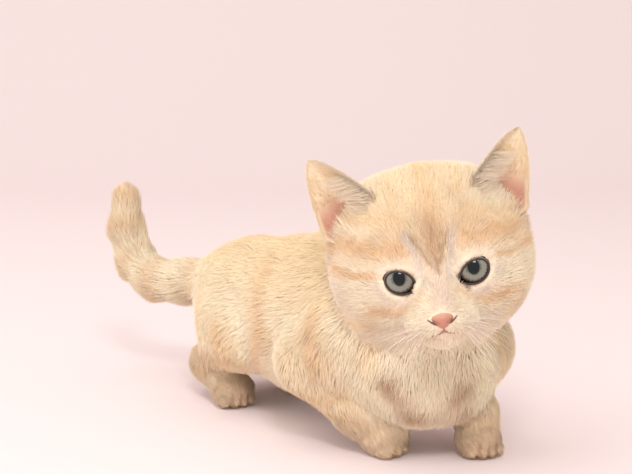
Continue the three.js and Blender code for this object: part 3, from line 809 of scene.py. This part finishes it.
upright = node_maths(nodes, links, "DIVIDE", eye_z, IRIS["pupil_height"])
oval = node_hypot(nodes, links, across, upright)
pupil_edge = nodes.new("ShaderNodeMapRange")
pupil_edge.inputs["From Min"].default_value = 0.93
pupil_edge.inputs["From Max"].default_value = 1.10
links.new(oval, pupil_edge.inputs["Value"])
pupil = nodes.new("ShaderNodeMix")
pupil.data_type = "RGBA"
links.new(pupil_edge.outputs["Result"], pupil.inputs["Factor"])
pupil.inputs["A"].default_value = (0.008, 0.009, 0.012, 1)
links.new(iris_colour, pupil.inputs["B"])
links.new(pupil.outputs["Result"], shader.inputs["Base Color"])


def add_uv(mesh, point_uv, name):
    """UV map with one place for each point, repeated at the face corners that use it."""
    layer = mesh.uv_layers.new(name=name)
    corner = np.empty(len(mesh.loops), np.int32)
    mesh.loops.foreach_get("vertex_index", corner)
    layer.uv.foreach_set("vector", np.asarray(point_uv, np.float32)[corner].ravel())


for name, side in SIDES:
    points, flat, faces = eye_grid(side)
    eye_mesh = mesh_of(f"eyeball_{name}", to_metres(points), faces)
    add_uv(eye_mesh, flat, "EyeMap")
    eyeball = piece_of(f"eyeball_{name}", eye_mesh, eye_finish)
    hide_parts(f"eye_{name}")

# Lid rims
# The bare wet edge of the lids, nearly black-brown against the eye and dusky pink outside it. Each
# is a slim closed tube that follows the almond of the opening over the ball.
RIM = dict(half_width=0.62, half_height=0.5, dark=np.array([0.030, 0.018, 0.014]), dusky=np.array([0.36, 0.20, 0.17]))


def rim_grid(side, around=120, section=16):
    """Tube round the opening: the almond's outline carried onto the ball, an oval section round it."""
    turn = np.linspace(0, 2 * np.pi, around, endpoint=False)
    a, b = OPENING["width"] / 2 + 0.1, OPENING["height"] / 2 + 0.1
    inner = np.maximum(-np.cos(turn), 0) ** 8 * OPENING["corner"] * 1.6
    u, v = a * np.cos(turn) - inner, b * np.sin(turn)
    cos, sin = np.cos(OPENING["slant"]), np.sin(OPENING["slant"])
    x, z = u * cos - v * sin, u * sin + v * cos
    on_ball = EYE_RADIUS + 0.35 + CORNEA_RISE * 0.6
    y = -np.sqrt(np.maximum(on_ball**2 - x**2 - z**2, 9))
    path = np.stack([x, y, z], axis=1)
    outward = path / np.linalg.norm(path, axis=1)[:, None]
    ahead = np.roll(path, -1, axis=0) - np.roll(path, 1, axis=0)
    ahead /= np.linalg.norm(ahead, axis=1)[:, None]
    aside = np.cross(ahead, outward)
    roll = np.linspace(0, 2 * np.pi, section, endpoint=False)
    points = (path[:, None] + RIM["half_width"] * np.cos(roll)[None, :, None] * aside[:, None]
              + RIM["half_height"] * np.sin(roll)[None, :, None] * outward[:, None])
    i, j = np.meshgrid(np.arange(around), np.arange(section), indexing="ij")
    k, m = (i + 1) % around, (j + 1) % section
    quads = np.stack([i * section + j, i * section + m, k * section + m, k * section + j], axis=-1)
    quads = quads.reshape(-1, 4)
    if side < 0:
        quads = quads[:, ::-1]
    share = np.broadcast_to(0.5 + 0.5 * np.cos(roll), (around, section))
    points = points.reshape(-1, 3) * (side, 1, 1) + EYE_CENTRE * (side, 1, 1)
    return points, share.ravel(), quads


rim_finish, nodes, links, shader = finish_of("lid_rim", roughness=0.35, coat=0.3)
add_bump(nodes, links, shader, scale=3000, strength=0.2, distance=0.0001)
for name, side in SIDES:
    points, outer, quads = rim_grid(side)
    colours = RIM["dark"] + (RIM["dusky"] - RIM["dark"]) * ease(0.45, 0.95, outer)[:, None]
    coloured_piece(f"lid_rim_{name}", from_head(points), [quads], colours, rim_finish)

# Nose and lips
# A bare moist pad of fine-grained pink skin with two comma nostrils, set into the muzzle, and the
# dusky line of the closed mouth under it, drawn as slim tubes sunk in the fur. The dark of the nostrils
# is painted shade, and the mouth's line is both the lips' dusky skin and painted shade of its crease.
NOSE_MASSES = [
    ((MUZZLE_SHIFT, -40.2, -16.3), (4.5, 4.4, 2.3), 0),
    ((MUZZLE_SHIFT, -40.6, -18.1), (2.5, 3.5, 2.7), 3),
    ((MUZZLE_SHIFT - 3.2, -40, -16.5), (1.8, 3.1, 1.7), 1),
    ((MUZZLE_SHIFT + 3.2, -40, -16.5), (1.8, 3.1, 1.7), 1),
]
NOSE_HEART = np.array([MUZZLE_SHIFT, -39, -16.8])
NOSTRIL = [(2.2, -45.0, -18.3), (3.7, -43.9, -17.7), (5.6, -41.4, -16.6)]
NOSTRIL_SLIT = [(2.0, -44.3, -18.9), (3.4, -43.5, -18.4), (4.8, -42.0, -17.4), (6.1, -40.3, -16.4)]
MOUTH = [(0, -42.8, -22.9), (2.2, -42.2, -23.9), (4.6, -40.8, -24.2), (7.0, -38.6, -23.6)]
PHILTRUM = [(0, -43.8, -20.0), (0, -43.4, -21.4), (0, -42.8, -22.9)]


def nose_field(q):
    """Distance to the nose pad, with a groove along each nostril."""
    d = mass(q, *NOSE_MASSES[0][:2])
    for centre, radii, soft in NOSE_MASSES[1:]:
        d = softer(d, mass(q, centre, radii), soft)
    aside = mirrored(q - np.array([MUZZLE_SHIFT, 0, 0]))
    for start, end in zip(NOSTRIL, NOSTRIL[1:]):
        d = -softer(-d, limb(aside, start, end, 0.6, 0.5), 0.5)
    return d


def nose_grid(around=96, rings=72):
    """Ball of rays from the heart of the nose, its poles fore and aft, each ray walked out by
    halving to where the nose's field is nought."""
    ball, faces = round_grid((0, 0, 0), (1, 1, 1), 0, around, rings)
    ball = ball @ turn_about("X", np.pi / 2).T
    near, far = np.zeros(len(ball)), np.full(len(ball), 9.0)
    for _ in range(18):
        middle = (near + far) / 2
        inside = nose_field(NOSE_HEART + ball * middle[:, None]) < 0
        near, far = np.where(inside, middle, near), np.where(inside, far, middle)
    return NOSE_HEART + ball * near[:, None], faces


def tube_grid(path, radii, section=10, turn_up=(0, 0, 1)):
    """Closed tube: rings of the given radii round a path of points, drawn to a pole at both ends."""
    path = np.asarray(path, float)
    ahead = np.gradient(path, axis=0)
    ahead /= np.linalg.norm(ahead, axis=1)[:, None]
    aside = np.cross(ahead, np.array(turn_up, float))
    aside /= np.maximum(np.linalg.norm(aside, axis=1)[:, None], 1e-9)
    over = np.cross(aside, ahead)
    roll = np.linspace(0, 2 * np.pi, section, endpoint=False)
    radii = np.broadcast_to(radii, len(path))[:, None, None]
    rings = path[:, None] + radii * (np.cos(roll)[None, :, None] * aside[:, None]
                                     + np.sin(roll)[None, :, None] * over[:, None])
    points = np.concatenate([rings.reshape(-1, 3), path[:1], path[-1:]])
    return points, [f[:, ::-1] for f in closed_faces(len(path), section)]


def smooth_path(points, steps):
    """Points along a curve through the given ones: a Catmull-Rom cubic for each stretch."""
    p = np.array(points, float)
    p = np.concatenate([2 * p[:1] - p[1:2], p, 2 * p[-1:] - p[-2:-1]])
    t = np.linspace(0, len(points) - 1, steps)
    n = np.minimum(t.astype(int), len(points) - 2)
    t = (t - n)[:, None]
    a, b, c, d = p[n], p[n + 1], p[n + 2], p[n + 3]
    return 0.5 * (2 * b + (c - a) * t + (2 * a - 5 * b + 4 * c - d) * t**2 + (3 * b - a - 3 * c + d) * t**3)


def onto_skin(p, sink):
    """Points carried along the slope of the skin to the given depth under it."""
    for _ in range(4):
        slope = slope_of(lambda r: coat_field(r, 1.0), p)
        level = coat_field(p, 1.0) + sink
        p = p - slope * (level / np.maximum(np.sum(slope * slope, axis=1), 0.25))[:, None]
    return p


nose_finish, nodes, links, shader = finish_of("nose_skin", roughness=0.42, coat=0.15)
shader.inputs["Subsurface Weight"].default_value = 0.12
shader.inputs["Subsurface Radius"].default_value = (0.003, 0.001, 0.0008)
shader.inputs["Subsurface Scale"].default_value = 1.0
add_bump(nodes, links, shader, scale=2600, strength=0.35, distance=0.00015, detail=2)
points, faces = nose_grid()
aside = mirrored(points - np.array([MUZZLE_SHIFT, 0, 0]))
nose_colours = np.broadcast_to(np.array([0.56, 0.25, 0.17]), (len(points), 3)).copy()
nose_colours = laid(nose_colours, "pink", 0.5 * ease(-16.5, -14.0, points[:, 2]))
# Painted shade: the nose is darkened along its nostril grooves.
nostril_shade = stroke(aside, NOSTRIL, 0.8)
nose_colours *= (1 - 0.8 * nostril_shade * ease(-41.6, -43.4, points[:, 1]))[:, None] ** [1.0, 1.15, 1.2]
nose_pad = coloured_piece("nose_pad", from_head(points), faces, nose_colours, nose_finish)
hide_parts("nose")

lip_finish, nodes, links, shader = finish_of("lip_skin", roughness=0.5)
add_bump(nodes, links, shader, scale=2600, strength=0.3, distance=0.0001)
# The lip lines are partly the lips' dusky skin and partly painted shade of the mouth's crease and the philtrum's
# groove.
lip_lines = [[(MUZZLE_SHIFT + side * x, y, z) for x, y, z in MOUTH] for side in (1, -1)]
lip_lines.append([(MUZZLE_SHIFT + x, y, z) for x, y, z in PHILTRUM])
# The nostrils' dark slits are tubes of painted shade.
slits = [[(MUZZLE_SHIFT + side * x, y, z) for x, y, z in NOSTRIL_SLIT] for side in (1, -1)]
LINE_STEPS = 28
fading = np.sqrt(np.clip(1.02 - np.linspace(0, 1, LINE_STEPS), 0, 1))
dusky_line, dark_line = (0.46, 0.22, 0.17), (0.16, 0.075, 0.06)
for name, line, radii, colour in (
    ("lip_line_left", lip_lines[0], 0.36 * fading + 0.08, dusky_line),
    ("lip_line_right", lip_lines[1], 0.36 * fading + 0.08, dusky_line),
    ("lip_line_middle", lip_lines[2], np.full(LINE_STEPS, 0.32), dusky_line),
    ("nostril_left", slits[0], 0.5 * fading + 0.05, dark_line),
    ("nostril_right", slits[1], 0.5 * fading + 0.05, dark_line),
):
    path = onto_skin(from_head(smooth_path(line, LINE_STEPS)), -0.3)
    points, faces = tube_grid(path, radii, turn_up=HEAD_AXES[:, 1])
    coloured_piece(name, points, faces, np.broadcast_to(colour, points.shape), lip_finish)

# Coat
# Soft double coat of fine hairs that gather into small tufts: short and close on the face and the
# feet, fluffy on cheeks, breast and flanks. A tuft is a slim closed spindle, rooted in the skin,
# that rises, bends over at its knee and thins to its tip along the lie of the coat.
rng = np.random.default_rng(7)
LIE_TURN, LIE_STRAY = 12, 9
TUFT = dict(sink=0.4, knee=0.38, spill=0.3, ground=0.35, lowest_root=0.9, upright=48)
BARE = dict(lids=0.32, nose=0.3, lips=0.8)
PLOTS = {
    # tufts to the square millimetre, width, and lift from the skin in degrees
    "face": (7.0, 0.30, 20),
    "crown": (3.7, 0.40, 23),
    "neck": (2.6, 0.44, 30),
    "trunk": (2.6, 0.44, 28),
    "leg": (2.8, 0.40, 26),
    "paw": (3.6, 0.33, 16),
    "tail": (2.6, 0.44, 32),
}
SPINDLE = np.array([(0, 1, 2), (0, 2, 3), (0, 3, 1), (2, 1, 4), (3, 2, 4), (1, 3, 4)])
UNDER_ROOT, UNDER_TIP = 0, 3
SPINDLE_PATCH = np.array([(0, 0), (-0.0015, 0.0012), (0.0015, 0.0012), (0, 0.0018), (0, 0.003)])
MOST_IN_A_PIECE = 32000


def scatter(points, faces, density):
    """Random places over triangles, as many to each as its area times its density: the numbers of
    the three corners, and the three corners' weights, for each place."""
    a, b, c = (points[faces[:, n]] for n in range(3))
    area = 0.5 * np.linalg.norm(np.cross(b - a, c - a), axis=1)
    chosen = np.repeat(np.arange(len(faces)), rng.poisson(area * density))
    r, s = np.sqrt(rng.random(len(chosen))), rng.random(len(chosen))
    return faces[chosen], np.stack([1 - r, r * (1 - s), r * s], axis=1)


def unit(v):
    """Vectors scaled to length one."""
    return v / np.maximum(np.linalg.norm(v, axis=1), 1e-9)[:, None]


def head_lie(q):
    """Lie of the coat on the head: away from the nose, parted round the eyes, down at the back."""
    lie = unit(q - np.array([MUZZLE_SHIFT, -43, -15]))
    lie[:, 2] -= 0.55 * ease(24, 44, np.abs(q[:, 0])) * ease(16, -4, q[:, 2])
    lie += ease(4, 28, q[:, 1])[:, None] * np.array([0, 0.9, -1.1])
    side = np.where(q[:, 0] >= 0, 1, -1)
    from_eye = q - EYE_CENTRE * np.stack([side, np.ones(len(q)), np.ones(len(q))], axis=1)
    round_eye = np.hypot(from_eye[:, 0], from_eye[:, 2])
    pull = np.exp(-np.square(np.maximum(round_eye - 6, 0) / 4.5))[:, None]
    return unit(lie * (1 - 0.75 * pull) + 0.9 * pull * unit(from_eye * np.array([1, 0, 1])))


def lie_of(p, parts):
    """Lie of the coat on the body: each part's own direction, run together by how near it is."""
    near = np.stack(list(parts.values()), axis=1)
    weight = np.exp(-(near - near.min(axis=1, keepdims=True)) / 4)
    lie = np.zeros((len(p), 3))
    for n, name in enumerate(parts):
        if name == "head":
            way = head_lie(to_head(p)) @ HEAD_AXES.T
        elif name == "neck":
            way = np.broadcast_to(unit(np.array([[0.0, 0.5, -0.9]])), (len(p), 3))
        elif name == "trunk":
            way = np.array([0, 1, -0.4]) + ease(-34, -66, p[:, 1])[:, None] * np.array([0, -0.4, -2.2]) \
                + ease(60, 88, p[:, 1])[:, None] * np.array([0, -0.4, -1.4])
        elif name == "tail":
            way = np.zeros((len(p), 3))
            for (start, r0), (end, r1) in zip(TAIL, TAIL[1:]):
                away = along_line(p, start, end)[1]
                way = way + unit(np.subtract(end, start)[None].astype(float)) * np.exp(-away / 4)[:, None]
        else:
            hip, _, _, ball = np.array(LEGS[name[:-4]][0], float)
            aim = np.radians(LEGS[name[:-4]][2])
            down = unit((ball - hip)[None]) + np.array([0, 0.3, -0.6])
            ahead = np.array([[np.sin(aim), -np.cos(aim), -0.5]])
            way = np.broadcast_to(ahead if name.endswith("paw") else down, (len(p), 3))
        lie += weight[:, n:n + 1] * unit(way)
    return unit(lie)


def spindle_line(root, normal, lie, length, lift):
    """Start, knee and tip of each tuft: it leaves the skin at one and a half times its lift and
    goes on from its knee at six tenths of it."""
    lie = unit(lie - np.sum(lie * normal, axis=1)[:, None] * normal)
    start = root - TUFT["sink"] * normal
    ways = []
    for steepness in (1.5, 0.6):
        rise = np.radians(lift * steepness)[:, None]
        ways.append(np.cos(rise) * lie + np.sin(rise) * normal)
    knee = start + ways[0] * (TUFT["knee"] * length)[:, None]
    return start, knee, knee + ways[1] * ((1 - TUFT["knee"]) * length)[:, None], np.cross(lie, normal)


def grow(name, root, normal, lie, length, width, lift, colours, place, soften=0.75, tip_light=1.06):
    """One coat piece of closed spindles: a point under each root, three corners at the knee, a tip.
    Seen from above its normals lean to the middle line by the share soften, as fur looks soft; its
    underside keeps its own. The tip is a little lighter."""
    n = len(root)
    start, knee, tip, side = spindle_line(root, normal, lie, length, lift)
    over = unit(np.cross(side, tip - knee))
    half = 0.5 * width[:, None]
    points = np.stack([start, knee - half * side, knee + half * side, knee + 0.8 * half * over, tip], axis=1)
    faces = (np.arange(n)[:, None, None] * 5 + SPINDLE).reshape(-1, 3)
    mesh = mesh_of(name, to_metres(points.reshape(-1, 3)), [faces])
    light = np.array([1.0, 0.97, 0.97, 1.0, tip_light])
    colour_points(mesh, (colours[:, None] * light[None, :, None]).reshape(-1, 3))
    low, high = place.min(axis=0), place.max(axis=0)
    corner = 0.01 + 0.97 * (place - low) / np.maximum(high - low, 1e-6)
    add_uv(mesh, (corner[:, None] + SPINDLE_PATCH).reshape(-1, 2), "OFBake")
    aside = 3 * (1 - soften) * side
    leans = np.stack([normal, over - aside, over + aside, over, over], axis=1)[:, SPINDLE]
    leans[:, UNDER_ROOT] = -unit(np.cross(side, knee - start))[:, None]
    leans[:, UNDER_TIP] = -over[:, None]
    mesh.normals_split_custom_set(unit(leans.reshape(-1, 3)))
    return mesh


def unwrap(p, part):
    """Place on an unwrap of the skin: bearing and height round the head, the trunk, a leg or tail."""
    if part in ("face", "crown"):
        x, y, z = (to_head(p) - np.array([0, 0, 2])).T
        return np.stack([np.arctan2(x, -y), np.arctan2(z, np.hypot(x, y))], axis=1)
    if part in ("trunk", "neck"):
        return np.stack([np.arctan2(p[:, 0], p[:, 2] - 52), p[:, 1] / 50], axis=1)
    if part == "tail":
        return np.stack([np.arctan2(p[:, 0] + 25, p[:, 2] - 62 + 0.3 * p[:, 1]), tail_share(p) * 4], axis=1)
    name = min(LEGS, key=lambda leg: np.linalg.norm(np.mean(p, axis=0) - np.mean(LEGS[leg][0], axis=0)))
    middle = np.mean(LEGS[name][0], axis=0)
    return np.stack([np.arctan2(p[:, 0] - middle[0], p[:, 1] - middle[1]), p[:, 2] / 20], axis=1)


def plot_of(p, parts):
    """Number of the plot that each point belongs to, by the part it is nearest."""
    names = list(parts)
    nearest = np.argmin(np.stack([parts[n] for n in names], axis=1), axis=1)
    plots = list(PLOTS)
    q = to_head(p)
    kind = np.empty(len(p), int)
    for n, name in enumerate(names):
        own = "face" if name == "head" else name.split("_")[-1]
        kind[nearest == n] = plots.index(own)
    crown = (kind == plots.index("face")) & ((q[:, 1] > -10) | (q[:, 2] > 30))
    kind[crown] = plots.index("crown")
    return kind


def lips_distance(q):
    """Distance to the nearest of the lips' lines."""
    return np.minimum.reduce([line_distance(q, line) for line in lip_lines])


def bare(q):
    """Where no hair grows on the head: the openings of the lids, the nose pad and the lips' line."""
    in_lids = (opening_field(q) < BARE["lids"]) & (q[:, 1] < -18)
    return in_lids | (nose_field(q) < BARE["nose"]) | (lips_distance(q) < BARE["lips"])


def before_ear(q):
    """1 close before the root of an ear, where the hair is short, fading to 0 ten millimetres off."""
    root, axis, wide, front = ear_frame()
    foot = root + 6 * front
    away = along_line(mirrored(q), foot + 0.05 * axis, foot + 0.5 * axis)[1]
    return np.exp(-np.square(away / 8.5))


def by_lips(q):
    """1 at the lips' line, where the hair is shortest, fading to 0 two millimetres off."""
    return np.exp(-np.square(lips_distance(q) / 2))


plot_names = list(PLOTS)
skin_parts = body_parts(skin_points, 1.0)
skin_kind = plot_of(skin_points, skin_parts)
skin_numbers = np.array(list(PLOTS.values()))[skin_kind]
for _ in range(10):
    skin_numbers = neighbour_mean(skin_numbers, skin_faces)
skin_normal = unit(slope_of(lambda r: coat_field(r, 1.0), skin_points))
skin_lie = lie_of(skin_points, skin_parts)
skin_reach = np.maximum(-coat_field(skin_points, 0.0), 0.25)
skin_reach *= (1 - 0.65 * before_ear(to_head(skin_points))) * (1 - 0.75 * by_lips(to_head(skin_points)))
triangles = np.concatenate([skin_faces[:, [0, 1, 2]], skin_faces[:, [0, 2, 3]]])
corners, weights = scatter(skin_points, triangles, skin_numbers[triangles[:, 0], 0])
root = np.einsum("nk,nkc->nc", weights, skin_points[corners])
growing = (root[:, 2] > TUFT["lowest_root"]) & ~bare(to_head(root))
root, corners, weights = root[growing], corners[growing], weights[growing]
kind = skin_kind[corners[:, 0]]
normal, lie, numbers, reach = (
    np.einsum("nk,nkc->nc", weights, values[corners])
    for values in (skin_normal, skin_lie, skin_numbers, skin_reach[:, None]))
normal, reach = unit(normal), reach[:, 0]
turned = np.radians(LIE_TURN) * ripple(root, 16, 51) + np.radians(LIE_STRAY) * rng.normal(size=len(root))
lie = np.cos(turned)[:, None] * lie + np.sin(turned)[:, None] * np.cross(normal, lie)
outward = np.clip(np.sum(unit(lie) * normal, axis=1), 0, 1)
lift = numbers[:, 2] * rng.uniform(0.7, 1.3, len(root))
lift = lift + (TUFT["upright"] - lift) * outward**2
width = numbers[:, 1] * rng.uniform(0.7, 1.25, len(root))
climb = TUFT["knee"] * np.sin(np.radians(1.5 * lift)) + (1 - TUFT["knee"]) * np.sin(np.radians(0.6 * lift))
length = np.clip((reach + TUFT["sink"]) / climb * rng.uniform(0.6, 1.05, len(root)), 1.0, 24.0)
tip = spindle_line(root, normal, lie, length, lift)[2]
stand_out = coat_field(tip, 0.0)
kept = np.where(stand_out > TUFT["spill"], (reach + TUFT["spill"]) / (reach + np.maximum(stand_out, 0.01)), 1)
below = tip[:, 2] < TUFT["ground"]
above_ground = (root[:, 2] - TUFT["ground"]) / np.maximum(root[:, 2] - tip[:, 2], 0.01)
kept = np.where(below, np.minimum(kept, above_ground), kept)
length = length * np.clip(kept, 0.3, 1)
width = np.minimum(width, 0.14 * length + 0.06)
tuft_colours = coat_colours(root) * rng.normal(1, 0.055, len(root))[:, None]
tuft_colours = tuft_colours ** np.stack([np.ones(len(root)), rng.normal(1, 0.03, len(root)),
                                         rng.normal(1, 0.06, len(root))], axis=1)
coat_finish, nodes, links, shader = finish_of("coat_hair", roughness=0.62, sheen=0.3)
shader.inputs["Specular IOR Level"].default_value = 0.2
add_bump(nodes, links, shader, scale=2500, strength=0.15, distance=0.0001)
leg_middles = np.array([np.mean(LEGS[name][0], axis=0)[:2] for name in LEGS])
for number, plot in enumerate(plot_names):
    chosen = np.flatnonzero(kind == number)
    bundle = np.zeros(len(chosen), int)
    if plot in ("leg", "paw"):
        bundle = np.argmin(np.linalg.norm(root[chosen, None, :2] - leg_middles, axis=2), axis=1)
    for part in np.unique(bundle):
        group = chosen[bundle == part]
        order = group[np.argsort(root[group, 1])]
        shares = np.array_split(order, int(np.ceil(len(order) / MOST_IN_A_PIECE)))
        for piece_number, some in enumerate(shares):
            leg = f"{part}_" if plot in ("leg", "paw") else ""
            label = f"coat_{plot}_{leg}{piece_number}"
            mesh = grow(label, root[some], normal[some], lie[some], length[some], width[some], lift[some],
                        tuft_colours[some], unwrap(root[some], plot))
            piece_of(label, mesh, coat_finish)

# Ear fur
# Short hair lies up the back and over the rim of each ear, and long pale hairs spring from the
# inner edge and sweep out across the cup, leaving the bare pink of its floor to show low down.
EAR_FUR = [
    # tufts, share up the ear and turn round its section from and to, length, width, lift, way
    # across, tone and its share
    ("back", 4400, (0.02, 0.98), (np.pi, 2 * np.pi), 3.4, 0.34, 16, 0.0, "apricot", 0.4),
    ("rim_out", 1300, (0.05, 0.98), (-0.8, 0.12), 2.6, 0.22, 24, 0.2, "pale", 0.7),
    ("rim_in", 1600, (0.05, 0.98), (np.pi - 0.2, np.pi + 0.9), 3.6, 0.28, 18, -0.25, "pale", 1.0),
    ("pale_edge", 800, (0.10, 0.95), (np.pi - 0.55, np.pi - 0.1), 2.6, 0.22, 30, 0.1, "pale", 1.0),
    ("cup", 2200, (0.56, 0.99), (0.05, np.pi - 0.05), 3.2, 0.22, 16, 0.25, "apricot", 0.35),
    ("low_cup", 240, (0.15, 0.56), (0.1, np.pi - 0.1), 3.0, 0.14, 16, 0.5, "blush", 0.6),
    ("fringe", 720, (0.16, 0.66), (np.pi * 0.74, np.pi - 0.08), 15.0, 0.20, 32, 1.3, "pale", 0.9),
    ("foot", 220, (0.26, 0.34), (0.50, np.pi - 0.3), 5.0, 0.24, 40, 0.0, "pale", 0.8),
]


def ear_surface(s, turn, side):
    """Places on the ear's leaf at share s and turn round its section, in the head's own frame."""
    return ear_points(s, np.cos(turn), 0.5 * EAR_SHAPE["thickness"] * np.sin(turn), side)


_, axis, ear_wide, ear_front = ear_frame()
for ear_name, side in SIDES:
    flip = np.array([side, 1, 1])
    roots, normals, lies, sizes, tints = [], [], [], [], []
    for name, count, (low_s, high_s), (from_turn, to_turn), size, thick, rise, across, tint, share in EAR_FUR:
        s, turn = rng.uniform(low_s, high_s, count), rng.uniform(from_turn, to_turn, count)
        at = ear_surface(s, turn, side)
        higher, lower = np.minimum(s + 0.01, 1), np.maximum(s - 0.01, 0)
        along = unit(ear_surface(higher, turn, side) - ear_surface(lower, turn, side))
        round_way = unit(ear_surface(s, turn + 0.02, side) - ear_surface(s, turn - 0.02, side))
        out = unit(np.cross(round_way, along))
        out = out * side * np.sign(np.cross(axis, ear_wide) @ ear_front)
        if name in ("fringe", "foot"):
            out = unit(out + 0.6 * ear_front * flip)
        way = unit(along + across * ear_wide * flip + 0.12 * rng.normal(size=(count, 3)))
        roots.append(from_head(at))
        normals.append(out @ HEAD_AXES.T)
        lies.append(way @ HEAD_AXES.T)
        long = size * rng.uniform(0.55, 1.1, count) * (1 - 0.35 * ease(0.75, 1.0, s))
        thick, rise = thick * rng.uniform(0.7, 1.2, count), rise * rng.uniform(0.6, 1.4, count)
        sizes.append(np.stack([long, thick, rise], axis=1))
        ground = ear_colours(s, np.cos(turn), (np.sin(turn) > 0) * 1.0)
        tints.append(laid(ground, tint, np.full(count, share)) * rng.normal(1, 0.05, count)[:, None])
    roots, normals, lies, sizes, tints = map(np.concatenate, (roots, normals, lies, sizes, tints))
    place = to_head(roots)[:, [0, 2]]
    mesh = grow(f"ear_fur_{ear_name}", roots, normals, lies, *sizes.T, tints, place)
    piece_of(f"ear_fur_{ear_name}", mesh, coat_finish)

# Whiskers
# Long stiff white hairs in four rows on each side of the muzzle, drooping under their own weight,
# and a few finer ones over each eye. Each is a tapering closed tube with its root in the pad.
WHISKER = dict(rows=4, columns=6, radius=0.11, steps=14, droop=0.22, sink=0.2)
BROW = dict(count=5, length=17, radius=0.06, droop=0.10)


def hair_path(start, way, length, droop):
    """Path of one hair: straight out along its way, falling by the droop times the square of t."""
    t = np.linspace(0, 1, WHISKER["steps"])[:, None]
    return start + length * (t * way + droop * t * t * np.array([0, 0, -1]))


whisker_finish, nodes, links, shader = finish_of("whisker", roughness=0.3, sheen=0.2)
thinning = 1 - 0.85 * np.linspace(0, 1, WHISKER["steps"])
for name, side in SIDES:
    tubes = []
    for row in range(WHISKER["rows"]):
        for column in range(WHISKER["columns"]):
            start = np.array([MUZZLE_SHIFT + side * (6.8 + 1.25 * column + 0.3 * row),
                              -42 + 1.1 * column + 0.5 * row, -18.6 - 1.55 * row - 0.25 * column])
            start = onto_skin(from_head(start[None]), WHISKER["sink"])[0]
            rise = np.radians(4 - 20 * row + rng.uniform(-9, 9))
            bearing = np.radians(61 + 6 * column + rng.uniform(-8, 8))
            way = np.array([side * np.sin(bearing) * np.cos(rise), -np.cos(bearing) * np.cos(rise), np.sin(rise)])
            length = rng.uniform(13, 16.8) + 0.4 * column + 1.5 * row
            tubes.append((hair_path(start, HEAD_AXES @ way, length, WHISKER["droop"]), WHISKER["radius"]))
    for n in range(BROW["count"]):
        start = np.array([side * (13.5 + 1.6 * n), -30.0, 13.5 + 0.5 * n])
        start = onto_skin(from_head(start[None]), WHISKER["sink"])[0]
        way = unit(np.array([[side * (0.25 + 0.16 * n), -0.5, 0.75]]))[0]
        length = BROW["length"] * rng.uniform(0.6, 1.0)
        tubes.append((hair_path(start, HEAD_AXES @ way, length, BROW["droop"]), BROW["radius"]))
    grids = [tube_grid(path, radius * thinning, section=6, turn_up=(0.3, 0.2, 1)) for path, radius in tubes]
    points, faces = joined_grids(grids)
    colours = np.broadcast_to(tone("white"), points.shape) * 1.05
    coloured_piece(f"whiskers_{name}", points, faces, colours, whisker_finish)

# Floor and light
# A plain pale floor that runs up into a backdrop. A small lamp above the camera gives the spark in
# the eyes, wide ones light the top, the front and one side, and pale light comes from all round.
def sweep_grid(width=9.0, depth=5.0, rise=3.0, bend=0.8, behind=0.9, steps=24):
    """Floor and backdrop in one: flat, then a quarter circle, then upright, all one width."""
    turn = np.linspace(0, np.pi / 2, steps)
    arc = np.stack([bend * np.sin(turn), bend * (1 - np.cos(turn))], axis=1)
    profile = np.concatenate([[[-depth, 0]], arc, [[bend, rise]]])
    away = -towards_camera * [1, 1, 0]
    away /= np.linalg.norm(away)
    aside = np.array([-away[1], away[0], 0])
    rows = behind * away + profile[:, :1] * away + profile[:, 1:] * np.array([0, 0, 1])
    points = np.concatenate([rows - aside * width / 2, rows + aside * width / 2])
    n = np.arange(len(rows) - 1)
    quads = np.stack([n, n + 1, n + 1 + len(rows), n + len(rows)], axis=1)[:, ::-1]
    return points, quads


floor_finish = bpy.data.materials.new("floor")
floor_finish.use_nodes = True
floor_shader = floor_finish.node_tree.nodes["Principled BSDF"]
floor_shader.inputs["Base Color"].default_value = (0.92, 0.80, 0.80, 1)
floor_shader.inputs["Roughness"].default_value = 0.9
points, quads = sweep_grid()
floor_mesh = mesh_of("floor", points, [quads])
floor_mesh.materials.append(floor_finish)
floor = bpy.data.objects.new("floor", floor_mesh)
bpy.context.scene.collection.objects.link(floor)


def lamp(name, place, target, power, size, mirrored=False):
    """Square soft lamp at a place in metres, turned to its target; only the key shows in the eyes."""
    light = bpy.data.objects.new(name, bpy.data.lights.new(name, "AREA"))
    bpy.context.scene.collection.objects.link(light)
    light.data.energy, light.data.size = power, size
    light.visible_glossy = mirrored
    light.location = place
    light.rotation_mode = "QUATERNION"
    light.rotation_quaternion = (Vector(target) - Vector(place)).to_track_quat("-Z", "Y")


head_middle = to_metres(from_head([0, 0, 0]))
key_way = np.array([np.sin(VIEW_AZIMUTH) * 0.68, -np.cos(VIEW_AZIMUTH) * 0.68, 0.74])
lamp("key_light", head_middle + 1.0 * key_way, head_middle, power=2.8, size=0.22, mirrored=True)
lamp("top_light", head_middle + np.array([-0.6, 0.35, 1.35]), head_middle, power=5.9, size=1.4)
front_way = np.array([np.sin(VIEW_AZIMUTH), -np.cos(VIEW_AZIMUTH), 0.05])
lamp("front_light", head_middle + 1.2 * front_way, head_middle, power=2.1, size=1.2)
lamp("side_light", np.array([-1.3, 0.5, 0.7]), np.array([0, 0.05, 0.05]), power=4.0, size=1.0)
world = bpy.data.worlds.new("studio")
bpy.context.scene.world = world
world.use_nodes = True
world.node_tree.nodes["Background"].inputs["Color"].default_value = (1, 0.955, 0.91, 1)
world.node_tree.nodes["Background"].inputs["Strength"].default_value = 0.82
bpy.context.scene.view_settings.view_transform = "Standard"
